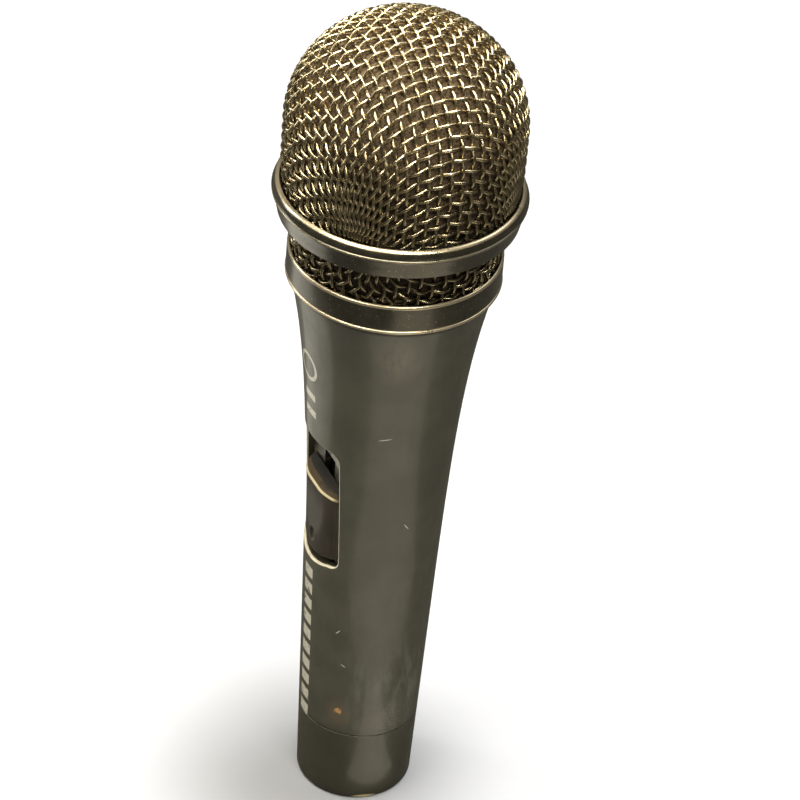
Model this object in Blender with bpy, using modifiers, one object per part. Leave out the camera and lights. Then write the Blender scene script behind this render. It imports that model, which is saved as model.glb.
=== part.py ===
"""A handheld dynamic vocal microphone with a slide switch, built as separate pieces.

The microphone stands on its tail: the origin is the centre of the tail's rim, +Z runs
along the body to the top of the grille, and the slide switch faces -Y.
Sizes are in millimetres and are turned into metres where each mesh is made.
"""

import math

import bmesh
import bpy
from mathutils import Matrix

MM = 0.001

# Driving sizes of the body.
TAIL_RADIUS = 11.7
TAPER = 0.030            # radius gained per millimetre of height
FLARE = 4.2              # extra radius at the shoulder
FLARE_POWER = 6.2
COLLAR_TOP = 17.5        # the tail collar meets the handle here
SHOULDER = 123.95        # the handle's shoulder, under the grille
NECK_TOP = 131.4
NECK_RADIUS = 17.3
NECK_BORE = 15.3
WALL = 2.0
GAP = 0.3                # clearance between pieces that touch
FLUSH = 0.35             # how far the slider lies below the handle's surface

# Driving sizes of the grille.
TOP = 180.0
HEAD_RADIUS = 22.94
DOME_START = 158.5       # the ball of the grille is a half ellipse above this height
MESH_THICKNESS = 1.2
FOAM_THICKNESS = 3.0
BASE_RING_TOP = 128.85
CROWN_RING_BOTTOM = 139.2
CROWN_RING_EDGE = 143.4
CROWN_RING_TOP = 145.4
CROWN_RING_RADIUS = 24.2

# Switch window in the handle, and the switch's travel.
WINDOW_HALF_WIDTH = 7.8
WINDOW_BOTTOM = 59.0
WINDOW_TOP = 89.0
WINDOW_SAG = 1.2         # the lower edge bows down by this much
WINDOW_CORNER = 2.0
SLIDER_BOTTOM = 60.6
SLIDER_TOP = 79.6
SWITCH_TRAVEL = 7.0
BED_FACE = -10.4         # Y of the recess floor

# Three-pole connector in the tail.
PLUG_RADIUS = 8.2
BARREL_RADIUS = 9.0
PIN_RADIUS = 1.2
PIN_CIRCLE = 4.1
PIN_ANGLES = (30.0, 150.0, 270.0)

# Capsule.
CAPSULE_RADIUS = 11.6
COIL_TRAVEL = 0.3        # the diaphragm's largest swing each way

OUTER_SEGMENTS = 48
INNER_SEGMENTS = 24
PIN_SEGMENTS = 16

FINISHES = {
    "satin_paint": ((0.045, 0.044, 0.036), 0.42, 0.35),
    "ring_metal": ((0.030, 0.028, 0.020), 0.25, 0.9),
    "mesh_wire": ((0.16, 0.145, 0.10), 0.35, 1.0),
    "foam": ((0.11, 0.095, 0.08), 0.95, 0.0),
    "slider_plastic": ((0.040, 0.034, 0.026), 0.45, 0.0),
    "black_plastic": ((0.02, 0.02, 0.02), 0.5, 0.0),
    "rubber": ((0.025, 0.025, 0.025), 0.8, 0.0),
    "steel": ((0.55, 0.55, 0.53), 0.3, 1.0),
    "nickel": ((0.62, 0.59, 0.52), 0.25, 1.0),
    "brass": ((0.70, 0.52, 0.24), 0.3, 1.0),
    "board": ((0.03, 0.14, 0.06), 0.5, 0.0),
    "felt": ((0.30, 0.29, 0.27), 0.95, 0.0),
    "film": ((0.75, 0.74, 0.70), 0.3, 0.0),
    "copper": ((0.60, 0.27, 0.13), 0.35, 1.0),
    "magnet_alloy": ((0.25, 0.25, 0.26), 0.4, 1.0),
    "red_sleeve": ((0.45, 0.03, 0.02), 0.5, 0.0),
    "white_sleeve": ((0.70, 0.69, 0.66), 0.5, 0.0),
    "green_sleeve": ((0.04, 0.25, 0.07), 0.5, 0.0),
}


def clear_scene():
    for thing in list(bpy.data.objects):
        bpy.data.objects.remove(thing, do_unlink=True)


def new_collection(name):
    collection = bpy.data.collections.new(name)
    bpy.context.scene.collection.children.link(collection)
    return collection


clear_scene()
PIECES = new_collection("dynamic_microphone")
CUTTERS = new_collection("cutters")


def material(name, finish):
    """One Principled material for each piece, from the table of finishes."""
    colour, roughness, metallic = FINISHES[finish]
    made = bpy.data.materials.new(name + "_material")
    made.use_nodes = True
    shader = made.node_tree.nodes["Principled BSDF"]
    shader.inputs["Base Color"].default_value = (*colour, 1.0)
    shader.inputs["Roughness"].default_value = roughness
    shader.inputs["Metallic"].default_value = metallic
    made.diffuse_color = (*colour, 1.0)
    return made


def empty(name, height):
    """A frame for one moving group, on the group's axis."""
    frame = bpy.data.objects.new(name, None)
    frame.location = (0.0, 0.0, height * MM)
    PIECES.objects.link(frame)
    return frame


MICROPHONE = empty("microphone_frame", 0.0)
HANDLE = empty("handle_frame", 0.0)
SWITCH = empty("switch_frame", SLIDER_BOTTOM)
DIAPHRAGM = empty("diaphragm_frame", 149.0)
WINDSCREEN = empty("windscreen_frame", SHOULDER)
GRILLE = empty("grille_frame", SHOULDER)


for group in (HANDLE, SWITCH, DIAPHRAGM, WINDSCREEN, GRILLE):
    group.parent = MICROPHONE


def add_piece(name, mesh, finish, group):
    """Links a mesh as a piece; its origin goes to its group's frame."""
    piece = bpy.data.objects.new(name, mesh)
    PIECES.objects.link(piece)
    if finish is not None:
        mesh.materials.append(material(name, finish))
    if group is not None:
        mesh.transform(group_shift(group))
        piece.parent = group
    return piece


def group_shift(group):
    return Matrix.Translation((0.0, 0.0, -group.location.z))


def evaluated_mesh(thing):
    """The mesh of an object with its modifiers or its bevel worked out."""
    graph = bpy.context.evaluated_depsgraph_get()
    mesh = bpy.data.meshes.new_from_object(thing.evaluated_get(graph))
    shape = bmesh.new()
    shape.from_mesh(mesh)
    bmesh.ops.remove_doubles(shape, verts=shape.verts, dist=1e-6)
    shape.to_mesh(mesh)
    shape.free()
    return mesh


def smooth(mesh, angle=35.0):
    mesh.shade_smooth()
    mesh.set_sharp_from_angle(angle=math.radians(angle))


def turned_mesh(name, outline, segments, solid=False):
    """Turns an outline of (radius, height) points about Z.

    The outline runs down the outer side and back up the inner side. A solid piece
    starts and ends on the axis, and its outline stays open there.
    """
    profile = bpy.data.meshes.new(name)
    points = [(radius * MM, 0.0, height * MM) for radius, height in outline]
    edges = [(i, i + 1) for i in range(len(points) - 1)]
    if not solid:
        edges.append((len(points) - 1, 0))
    profile.from_pydata(points, edges, [])
    blank = bpy.data.objects.new(name + "_profile", profile)
    CUTTERS.objects.link(blank)
    turn = blank.modifiers.new("Turn", "SCREW")
    turn.axis = "Z"
    turn.angle = 2.0 * math.pi
    turn.steps = segments
    turn.render_steps = segments
    turn.use_merge_vertices = True
    turn.merge_threshold = 1e-6
    mesh = evaluated_mesh(blank)
    bpy.data.objects.remove(blank, do_unlink=True)
    mesh.name = name
    smooth(mesh)
    return mesh


def turned(name, outline, finish, group, segments=INNER_SEGMENTS, solid=False):
    return add_piece(name, turned_mesh(name, outline, segments, solid), finish, group)


def ring(name, inner, outer, low, high, finish, group, segments=INNER_SEGMENTS):
    """A plain tube between two radii and two heights."""
    outline = [(outer, high), (outer, low), (inner, low), (inner, high)]
    return turned(name, outline, finish, group, segments)


def disc(name, radius, low, high, finish, group, segments=INNER_SEGMENTS):
    outline = [(0.0, high), (radius, high), (radius, low), (0.0, low)]
    return turned(name, outline, finish, group, segments, solid=True)


def block_mesh(name, low, high):
    """A box between two corners."""
    shape = bmesh.new()
    bmesh.ops.create_cube(shape, size=1.0)
    for vert in shape.verts:
        for axis in range(3):
            middle = (low[axis] + high[axis]) / 2.0
            vert.co[axis] = (middle + vert.co[axis] * (high[axis] - low[axis])) * MM
    mesh = bpy.data.meshes.new(name)
    shape.to_mesh(mesh)
    shape.free()
    return mesh


def block(name, low, high, finish, group):
    return add_piece(name, block_mesh(name, low, high), finish, group)


def rod_mesh(name, radius, axis, start, end, centre, segments=PIN_SEGMENTS):
    """A round rod along Y or Z. centre gives the two other coordinates."""
    shape = bmesh.new()
    bmesh.ops.create_cone(shape, cap_ends=True, segments=segments,
                          radius1=radius * MM, radius2=radius * MM, depth=(end - start) * MM)
    for vert in shape.verts:
        x, y, z = vert.co
        along = z + (start + end) / 2.0 * MM
        if axis == "Z":
            vert.co = (x + centre[0] * MM, y + centre[1] * MM, along)
        else:
            vert.co = (x + centre[0] * MM, along, centre[1] * MM - y)
    mesh = bpy.data.meshes.new(name)
    shape.to_mesh(mesh)
    shape.free()
    smooth(mesh)
    return mesh


def rod(name, radius, axis, start, end, centre, finish, group, segments=PIN_SEGMENTS):
    mesh = rod_mesh(name, radius, axis, start, end, centre, segments)
    return add_piece(name, mesh, finish, group)


def combine(piece, mesh, operation):
    """Cuts a helper shape from a piece, joins it on, or keeps what they share."""
    helper = bpy.data.objects.new(piece.name + "_" + mesh.name, mesh)
    helper.hide_render = True
    helper.display_type = "WIRE"
    CUTTERS.objects.link(helper)
    if piece.parent is not None:
        mesh.transform(group_shift(piece.parent))
        helper.parent = piece.parent
    change = piece.modifiers.new(mesh.name, "BOOLEAN")
    change.operation = operation
    change.solver = "EXACT"
    change.object = helper


def cut(piece, mesh):
    combine(piece, mesh, "DIFFERENCE")


def join(piece, mesh):
    combine(piece, mesh, "UNION")


def keep_shared(piece, mesh):
    combine(piece, mesh, "INTERSECT")


def wire(name, points, radius, finish, group):
    """A round wire through a few points, smoothed by a Catmull-Rom curve."""
    path = bpy.data.curves.new(name, "CURVE")
    path.dimensions = "3D"
    path.bevel_depth = radius * MM
    path.bevel_resolution = 2
    path.use_fill_caps = True
    places = curve_through(points, steps=4)
    spline = path.splines.new("POLY")
    spline.points.add(len(places) - 1)
    for point, place in zip(spline.points, places):
        point.co = (place[0] * MM, place[1] * MM, place[2] * MM - group.location.z, 1.0)
    path.materials.append(material(name, finish))
    piece = bpy.data.objects.new(name, path)
    PIECES.objects.link(piece)
    piece.parent = group
    return piece


def curve_through(points, steps):
    """Catmull-Rom points between the given ones, which it passes through."""
    padded = [points[0], *points, points[-1]]
    places = []
    for i in range(1, len(padded) - 2):
        for step in range(steps):
            t = step / steps
            weights = ((-t + 2 * t * t - t ** 3) / 2, (2 - 5 * t * t + 3 * t ** 3) / 2,
                       (t + 4 * t * t - 3 * t ** 3) / 2, (t ** 3 - t * t) / 2)
            near = padded[i - 1:i + 3]
            places.append([sum(w * p[axis] for w, p in zip(weights, near)) for axis in range(3)])
    places.append(list(points[-1]))
    return places


def steps_between(start, end, count):
    return [start + (end - start) * i / (count - 1) for i in range(count)]


def handle_radius(height):
    """The handle's outer radius: a straight taper with a flare to the shoulder."""
    return TAIL_RADIUS + TAPER * height + FLARE * (height / SHOULDER) ** FLARE_POWER


def head_radius(height):
    """The outer radius of the grille's ball, above the crown ring."""
    if height > DOME_START:
        rise = (height - DOME_START) / (TOP - DOME_START)
        return HEAD_RADIUS * math.sqrt(max(0.0, 1.0 - rise * rise))
    if height < 152.0:
        return HEAD_RADIUS - 0.5 * ((152.0 - height) / 7.0) ** 2
    return HEAD_RADIUS


def lower_mesh_radius(height):
    """The outer radius of the short mesh cone under the crown ring."""
    return 20.0 + 0.16 * (height - BASE_RING_TOP)


def window_outline(half_width, bottom, top):
    """A tall window with round corners and a bowed lower edge, as (x, z) points."""
    corner = WINDOW_CORNER
    inner = half_width - corner
    points = []
    for angle in steps_between(0.0, 90.0, 5):
        turn = math.radians(angle)
        points.append((inner + corner * math.cos(turn), top - corner + corner * math.sin(turn)))
    points += [(-x, z) for x, z in reversed(points)]
    base = bottom + WINDOW_SAG
    for angle in steps_between(180.0, 270.0, 5):
        turn = math.radians(angle)
        points.append((-inner + corner * math.cos(turn), base + corner + corner * math.sin(turn)))
    for x in steps_between(-inner, inner, 7)[1:-1]:
        points.append((x, bottom + WINDOW_SAG * (x / inner) ** 2))
    for angle in steps_between(270.0, 360.0, 5):
        turn = math.radians(angle)
        points.append((inner + corner * math.cos(turn), base + corner + corner * math.sin(turn)))
    return points


def prism_mesh(name, outline, front, back):
    """A flat outline in the XZ plane, given thickness from Y front to Y back."""
    flat = bpy.data.curves.new(name, "CURVE")
    flat.dimensions = "2D"
    flat.fill_mode = "BOTH"
    flat.extrude = (back - front) / 2.0 * MM
    spline = flat.splines.new("POLY")
    spline.points.add(len(outline) - 1)
    for point, (x, z) in zip(spline.points, outline):
        point.co = (x * MM, z * MM, 0.0, 1.0)
    spline.use_cyclic_u = True
    sheet = bpy.data.objects.new(name, flat)
    sheet.rotation_euler = (math.radians(90.0), 0.0, 0.0)
    sheet.location = (0.0, (front + back) / 2.0 * MM, 0.0)
    CUTTERS.objects.link(sheet)
    bpy.context.view_layer.update()
    mesh = evaluated_mesh(sheet)
    mesh.transform(sheet.matrix_world)
    bpy.data.objects.remove(sheet, do_unlink=True)
    mesh.name = name
    return mesh


# ---------------------------------------------------------------- the handle and its tail

def make_handle():
    """The die-cast handle with its neck for the grille and the switch window."""
    outer = [(handle_radius(z), z) for z in steps_between(SHOULDER, 92.0, 9)]
    outer += [(handle_radius(z), z) for z in (74.0, 50.0, COLLAR_TOP + GAP)]
    inner = [(handle_radius(z) - WALL, z) for z in (COLLAR_TOP + GAP, 50.0, 74.0, 92.0, 104.0)]
    outline = [(NECK_RADIUS - 0.5, NECK_TOP), (NECK_RADIUS, NECK_TOP - 0.5), (NECK_RADIUS, SHOULDER)]
    outline += outer + inner + [(NECK_BORE, 112.0), (NECK_BORE, NECK_TOP)]
    shell = turned("handle_shell", outline, "satin_paint", HANDLE, OUTER_SEGMENTS)
    window = window_outline(WINDOW_HALF_WIDTH, WINDOW_BOTTOM, WINDOW_TOP)
    cut(shell, prism_mesh("window", window, -20.0, -6.0))


def make_tail():
    """The collar that closes the tail and carries the connector."""
    inner = BARREL_RADIUS + GAP
    spigot = handle_radius(COLLAR_TOP) - WALL - GAP
    outline = [(spigot, 23.5), (spigot, COLLAR_TOP), (handle_radius(COLLAR_TOP), COLLAR_TOP)]
    outline += [(handle_radius(z), z) for z in (9.0, 1.0)]
    outline += [(handle_radius(0.0) - 0.6, 0.0), (inner, 0.0), (inner, 23.5)]
    collar = turned("tail_collar", outline, "satin_paint", HANDLE, OUTER_SEGMENTS)
    cut(collar, rod_mesh("screw_hole", 1.5, "Y", 8.0, 14.0, (0.0, 9.0)))
    screw = rod("collar_set_screw", 1.2, "Y", inner, 11.3, (0.0, 9.0), "steel", HANDLE)
    cut(screw, block_mesh("slot", (-2.0, 10.8, 8.75), (2.0, 12.0, 9.25)))


def make_connector():
    """The three-pole plug inlet: metal barrel, insulator, three pins and a ground ring."""
    barrel = [(BARREL_RADIUS, 30.0), (BARREL_RADIUS, 0.8), (PLUG_RADIUS, 0.8), (PLUG_RADIUS, 30.0)]
    turned("connector_barrel", barrel, "nickel", HANDLE, 32)
    insert = disc("connector_insert", PLUG_RADIUS - GAP, 16.0, 22.0, "black_plastic", HANDLE)
    for number, angle in enumerate(PIN_ANGLES, start=1):
        turn = math.radians(angle)
        centre = (PIN_CIRCLE * math.cos(turn), PIN_CIRCLE * math.sin(turn))
        cut(insert, rod_mesh("hole_%d" % number, PIN_RADIUS + GAP, "Z", 14.0, 24.0, centre))
        pin = [(0.0, 27.0), (PIN_RADIUS, 27.0), (PIN_RADIUS, 3.4), (0.7, 2.6), (0.0, 2.5)]
        made = turned("contact_pin_%d" % number, pin, "nickel", HANDLE, PIN_SEGMENTS, solid=True)
        made.location = (centre[0] * MM, centre[1] * MM, 0.0)
    ring("ground_ring", PLUG_RADIUS, BARREL_RADIUS + 0.4, 30.3, 31.2, "brass", HANDLE)


# ---------------------------------------------------------------- the slide switch

def make_slider():
    """The thumb plate in the window, with its stem on the switch's lever."""
    half = WINDOW_HALF_WIDTH - FLUSH
    outline = window_outline(half, SLIDER_BOTTOM, SLIDER_TOP)
    plate = prism_mesh("switch_slider", outline, -16.0, BED_FACE - GAP)
    slider = add_piece("switch_slider", plate, "slider_plastic", SWITCH)
    skin = [(handle_radius(z) - FLUSH, z) for z in steps_between(SLIDER_TOP + 3.0, SLIDER_BOTTOM - 3.0, 6)]
    skin = [(0.0, skin[0][1])] + skin + [(0.0, skin[-1][1])]
    keep_shared(slider, turned_mesh("skin", skin, 96, solid=True))
    dish_radius = 60.0
    dish_low, dish_high = SLIDER_BOTTOM + 2.2, SLIDER_TOP - 1.4
    middle = (dish_low + dish_high) / 2.0
    depth = dish_radius - math.sqrt(dish_radius ** 2 - ((dish_high - dish_low) / 2.0) ** 2)
    surface = handle_radius(middle) - FLUSH
    dish = turned_mesh("dish", [(0.0, 10.0), (dish_radius, 10.0), (dish_radius, -10.0), (0.0, -10.0)],
                       96, solid=True)
    dish.transform(Matrix.Rotation(math.radians(90.0), 4, "Y"))
    dish.transform(Matrix.Translation((0.0, (-surface + depth - dish_radius) * MM, middle * MM)))
    cut(slider, dish)
    cut(slider, rod_mesh("dimple", 1.1, "Y", -16.0, -(surface - depth - 0.5), (0.0, 64.4), 12))
    join(slider, block_mesh("stem", (-2.0, BED_FACE - 1.0, 70.0), (2.0, -9.0, 75.6)))
    cut(slider, block_mesh("stem_pocket", (-1.1, -10.3, 71.3), (1.1, -8.0, 74.3)))


def make_switch():
    """The bed under the window and the slide switch on its board."""
    half = WINDOW_HALF_WIDTH - FLUSH
    outline = window_outline(half, WINDOW_BOTTOM + FLUSH, WINDOW_TOP - FLUSH)
    bed = add_piece("switch_bed", prism_mesh("switch_bed", outline, BED_FACE, -9.2),
                    "black_plastic", HANDLE)
    join(bed, block_mesh("lower_tab", (-4.5, -9.5, 55.0), (4.5, -7.6, 61.5)))
    join(bed, block_mesh("upper_tab", (-4.5, -9.5, 86.5), (4.5, -7.6, 93.0)))
    cut(bed, block_mesh("stem_slot", (-2.4, -12.0, 69.5), (2.4, -8.0, 76.1 + SWITCH_TRAVEL)))
    board = block("circuit_board", (-5.5, -4.3, 53.0), (5.5, -2.7, 95.0), "board", HANDLE)
    for place, height in (("lower", 57.2), ("upper", 90.8)):
        cut(bed, rod_mesh(place + "_hole", 1.1, "Y", -12.0, -6.0, (0.0, height)))
        cut(board, rod_mesh(place + "_hole", 1.1, "Y", -6.0, 0.0, (0.0, height)))
        screw = rod("bed_screw_" + place, 1.6, "Y", -10.8, -9.8, (0.0, height), "steel", HANDLE)
        join(screw, rod_mesh("shank", 0.8, "Y", -10.3, -2.0, (0.0, height)))
    can = block("switch_can", (-4.0, -8.7, 64.0), (4.0, -6.0, 84.0), "steel", HANDLE)
    cut(can, block_mesh("inside", (-3.5, -8.2, 64.5), (3.5, -5.0, 83.5)))
    cut(can, block_mesh("slot", (-1.2, -10.0, 71.1), (1.2, -8.0, 74.5 + SWITCH_TRAVEL)))
    block("switch_base", (-3.9, -5.7, 64.1), (3.9, -4.6, 83.9), "black_plastic", HANDLE)
    block("detent_leaf", (-1.5, -6.5, 66.0), (1.5, -6.2, 82.0), "brass", HANDLE)
    lever = block("switch_lever", (-2.6, -7.8, 70.0), (2.6, -6.9, 75.6), "black_plastic", SWITCH)
    join(lever, block_mesh("finger", (-0.8, -10.0, 71.6), (0.8, -7.4, 74.0)))


# ---------------------------------------------------------------- the capsule

def make_capsule_mount():
    """The carrier in the neck and the rubber ring that holds the capsule."""
    carrier = [(16.9, 133.2), (16.9, 131.7), (NECK_BORE - GAP, 131.7), (NECK_BORE - GAP, 123.0),
               (13.4, 123.0), (13.4, 133.2)]
    turned("capsule_carrier", carrier, "black_plastic", HANDLE)
    mount = [(16.0, 136.2), (16.4, 135.6), (16.4, 133.5), (13.1, 133.5), (13.1, 124.0),
             (CAPSULE_RADIUS + GAP, 124.0), (CAPSULE_RADIUS + GAP, 136.2)]
    turned("shock_mount", mount, "rubber", HANDLE)


def make_capsule():
    """The moving-coil capsule's fixed pieces, from the front cap down."""
    housing = [(12.4, 150.0), (12.4, 148.4), (CAPSULE_RADIUS, 147.6), (CAPSULE_RADIUS, 115.0),
               (CAPSULE_RADIUS - 1.0, 115.0), (CAPSULE_RADIUS - 1.0, 150.0)]
    turned("capsule_housing", housing, "black_plastic", HANDLE)
    front = [(0.0, 155.4), (11.8, 155.4), (12.4, 154.8), (12.4, 150.3), (11.3, 150.3),
             (11.3, 154.4), (0.0, 154.4)]
    cap = turned("capsule_front", front, "black_plastic", HANDLE, 24, solid=True)
    cut(cap, rod_mesh("middle_hole", 1.8, "Z", 153.0, 157.0, (0.0, 0.0), 12))
    for number in range(6):
        turn = math.radians(60.0 * number + 30.0)
        centre = (6.5 * math.cos(turn), 6.5 * math.sin(turn))
        cut(cap, rod_mesh("hole_%d" % number, 1.8, "Z", 153.0, 157.0, centre, 12))
    disc("front_felt", 10.9, 153.1, 154.1, "felt", HANDLE)
    basket = [(10.3, 148.2), (10.3, 135.6), (9.5, 135.6), (9.5, 148.2)]
    turned("capsule_basket", basket, "black_plastic", HANDLE)
    cup = [(9.2, 147.0), (9.2, 136.4), (0.0, 136.4), (0.0, 138.2), (7.7, 138.2), (7.7, 147.0)]
    turned("magnet_cup", turned_cup(cup), "steel", HANDLE, solid=True)
    disc("magnet", 6.2, 138.5, 144.4, "magnet_alloy", HANDLE)
    disc("pole_piece", 6.4, 144.7, 146.8, "steel", HANDLE)
    disc("rear_felt", 10.2, 133.8, 135.2, "felt", HANDLE)
    ring("hum_coil", 5.0, 9.8, 126.0, 131.0, "copper", HANDLE)


def turned_cup(points):
    """Reorders a cup's outline so that it starts and ends on the axis."""
    start = points.index((0.0, 138.2))
    return points[start:] + points[:start]


def make_terminals():
    """The cap under the capsule and its two solder terminals."""
    cap = disc("rear_cap", CAPSULE_RADIUS - 1.0 - GAP, 116.0, 118.0, "black_plastic", HANDLE)
    for name, side in (("hot", 1.0), ("cold", -1.0)):
        cut(cap, rod_mesh(name + "_hole", 0.9, "Z", 115.0, 119.0, (side * 3.0, 0.0), 12))
        rod("terminal_" + name, 0.6, "Z", 112.5, 120.0, (side * 3.0, 0.0), "nickel", HANDLE, 10)


def make_diaphragm():
    """The domed diaphragm and the voice coil that hangs from it."""
    dome = [(6.6 * math.sin(math.radians(a)), 149.3 + 1.9 * math.cos(math.radians(a)))
            for a in (0.0, 22.0, 45.0, 68.0, 90.0)]
    under = [(radius * 0.95, height - 0.35) for radius, height in reversed(dome)]
    outline = dome + [(9.9, 149.3), (9.9, 148.95)] + under[:-1] + [(0.0, under[-1][1])]
    turned("diaphragm", outline, "film", DIAPHRAGM, solid=True)
    ring("voice_coil", 6.85, 7.25, 143.4, 148.6, "copper", DIAPHRAGM)


# ---------------------------------------------------------------- the wiring

def make_wiring():
    """Two leads from the capsule to the board, two on to the pins, and the ground lead."""
    pins = [(PIN_CIRCLE * math.cos(math.radians(a)), PIN_CIRCLE * math.sin(math.radians(a)))
            for a in PIN_ANGLES]
    for name, side, sleeve in (("hot", 1.0, "red_sleeve"), ("cold", -1.0, "white_sleeve")):
        route = [(side * 3.0, 0.0, 112.1), (side * 3.0, 0.4, 107.0), (side * 4.4, 1.2, 101.0),
                 (side * 3.8, -0.6, 95.0), (side * 3.6, -1.7, 90.0), (side * 3.6, -1.7, 87.0)]
        wire("capsule_lead_" + name, route, 0.6, sleeve, HANDLE)
    route = [(-3.6, -1.7, 62.0), (-3.6, -1.7, 57.0), (-4.4, 0.6, 49.0), (-4.6, 2.6, 40.0),
             (pins[1][0], pins[1][1], 32.0), (pins[1][0], pins[1][1], 27.4)]
    wire("tail_lead_hot", route, 0.6, "red_sleeve", HANDLE)
    route = [(3.6, -1.7, 62.0), (3.6, -1.7, 57.0), (3.2, -1.2, 49.0), (1.4, -3.0, 40.0),
             (pins[2][0], pins[2][1], 32.0), (pins[2][0], pins[2][1], 27.4)]
    wire("tail_lead_cold", route, 0.6, "white_sleeve", HANDLE)
    route = [(pins[0][0], pins[0][1], 27.4), (pins[0][0], pins[0][1], 30.5), (4.6, 3.2, 34.5),
             (6.6, 4.4, 34.8), (7.4, 4.8, 32.2)]
    wire("ground_lead", route, 0.5, "green_sleeve", HANDLE)


# ---------------------------------------------------------------- the grille

def make_grille_rings():
    """The threaded base ring, the crown ring and the ring that clamps the meshes."""
    sleeve = NECK_RADIUS + GAP
    low = SHOULDER + GAP
    base = [(20.3, BASE_RING_TOP), (20.5, BASE_RING_TOP - 0.2), (20.72, low + 0.9), (20.72, low + 0.5),
            (20.3, low), (18.9, low), (18.9, low + 1.45), (sleeve, low + 1.45), (sleeve, 130.9),
            (18.4, 130.9), (18.4, 126.9), (20.3, 126.9)]
    turned("base_ring", base, "ring_metal", GRILLE, OUTER_SEGMENTS)
    ring("neck_gasket", sleeve, sleeve + 1.0, low, low + 1.15, "rubber", HANDLE, 32)
    edge = CROWN_RING_EDGE
    crown = [(22.78, CROWN_RING_TOP), (23.05, CROWN_RING_TOP), (23.75, edge + 1.3), (24.1, edge + 0.5),
             (CROWN_RING_RADIUS, edge), (24.05, edge - 0.3), (23.5, edge - 1.9),
             (23.0, CROWN_RING_BOTTOM), (22.3, CROWN_RING_BOTTOM), (22.3, 141.0), (21.4, 141.0),
             (21.4, 142.0), (22.78, 142.0)]
    turned("crown_ring", crown, "ring_metal", GRILLE, OUTER_SEGMENTS)
    ring("mesh_clamp_ring", 19.5, 19.95, 138.2, 146.0, "steel", GRILLE, 32)


def make_grille_meshes():
    """The two woven wire bodies, as plain shells of the weave's thickness."""
    heights = [142.3, 147.0, 152.0, DOME_START]
    rise = TOP - DOME_START
    outer = [(head_radius(z), z) for z in heights]
    inner = [(head_radius(z) - MESH_THICKNESS, z) for z in heights]
    for angle in steps_between(11.0, 90.0, 8):
        turn = math.radians(angle)
        outer.append((HEAD_RADIUS * math.cos(turn), DOME_START + rise * math.sin(turn)))
        inner.append(((HEAD_RADIUS - MESH_THICKNESS) * math.cos(turn),
                      DOME_START + (rise - MESH_THICKNESS) * math.sin(turn)))
    outer[-1] = (0.0, TOP)
    inner[-1] = (0.0, TOP - MESH_THICKNESS)
    outline = list(reversed(outer)) + inner
    turned("dome_mesh", outline, "mesh_wire", GRILLE, OUTER_SEGMENTS, solid=True)
    heights = (140.7, 134.0, 127.2)
    band = [(lower_mesh_radius(z), z) for z in heights]
    band += [(lower_mesh_radius(z) - MESH_THICKNESS, z) for z in reversed(heights)]
    turned("lower_mesh", band, "mesh_wire", GRILLE, OUTER_SEGMENTS)


def make_foam():
    """The foam linings behind the two meshes."""
    depth = MESH_THICKNESS + GAP
    rise = TOP - DOME_START
    outer, inner = [(HEAD_RADIUS - 0.5 - depth, 146.4)], [(HEAD_RADIUS - 0.5 - depth - FOAM_THICKNESS, 146.4)]
    for angle in steps_between(0.0, 90.0, 7):
        turn = math.radians(angle)
        for side, skin in ((outer, depth), (inner, depth + FOAM_THICKNESS)):
            side.append(((HEAD_RADIUS - skin) * math.cos(turn),
                         DOME_START + (rise - skin) * math.sin(turn)))
    outer[-1] = (0.0, TOP - depth)
    inner[-1] = (0.0, TOP - depth - FOAM_THICKNESS)
    turned("dome_foam", list(reversed(outer)) + inner, "foam", WINDSCREEN, 32, solid=True)
    low, high = 131.3, 137.8
    band = [(lower_mesh_radius(high) - depth, high), (lower_mesh_radius(low) - depth, low),
            (17.3, low), (17.3, high)]
    turned("lower_foam", band, "foam", WINDSCREEN, 32)


make_handle()
make_tail()
make_connector()
make_slider()
make_switch()
make_capsule_mount()
make_capsule()
make_terminals()
make_diaphragm()
make_wiring()
make_grille_rings()
make_grille_meshes()
make_foam()
bpy.context.view_layer.update()
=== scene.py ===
"""The looks of a handheld dynamic vocal microphone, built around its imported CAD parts.

Everything is in the CAD's own frame: the microphone stands on its tail, +Z runs up
to the top of the grille and the slide switch faces -Y. Lengths are in millimetres and
become metres where a mesh is made. Azimuths are in degrees, from the switch side
towards +X, so azimuth 0 faces -Y and azimuth 90 faces +X.
"""

import math

import bmesh
import bpy
import numpy as np
from mathutils import Matrix, Vector, noise


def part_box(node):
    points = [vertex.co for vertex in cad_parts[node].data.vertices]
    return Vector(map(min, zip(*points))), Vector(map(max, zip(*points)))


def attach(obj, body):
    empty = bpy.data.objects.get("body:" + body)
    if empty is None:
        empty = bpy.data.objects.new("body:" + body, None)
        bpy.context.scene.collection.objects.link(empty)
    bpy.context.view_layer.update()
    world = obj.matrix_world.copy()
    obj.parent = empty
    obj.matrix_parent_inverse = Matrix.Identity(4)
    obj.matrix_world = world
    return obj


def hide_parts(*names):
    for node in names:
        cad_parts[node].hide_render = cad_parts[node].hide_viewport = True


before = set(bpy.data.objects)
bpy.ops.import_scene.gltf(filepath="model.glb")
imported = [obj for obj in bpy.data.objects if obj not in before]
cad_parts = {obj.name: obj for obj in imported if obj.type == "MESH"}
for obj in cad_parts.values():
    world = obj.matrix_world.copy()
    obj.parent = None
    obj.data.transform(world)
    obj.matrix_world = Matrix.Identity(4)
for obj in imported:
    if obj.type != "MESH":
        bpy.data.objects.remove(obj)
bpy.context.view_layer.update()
MM = 0.001


# ---- sizes

def extent(node):
    """A CAD node's lowest and highest Z, and its reach along +X."""
    low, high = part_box(node)
    return low.z / MM, high.z / MM, high.x / MM


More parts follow.
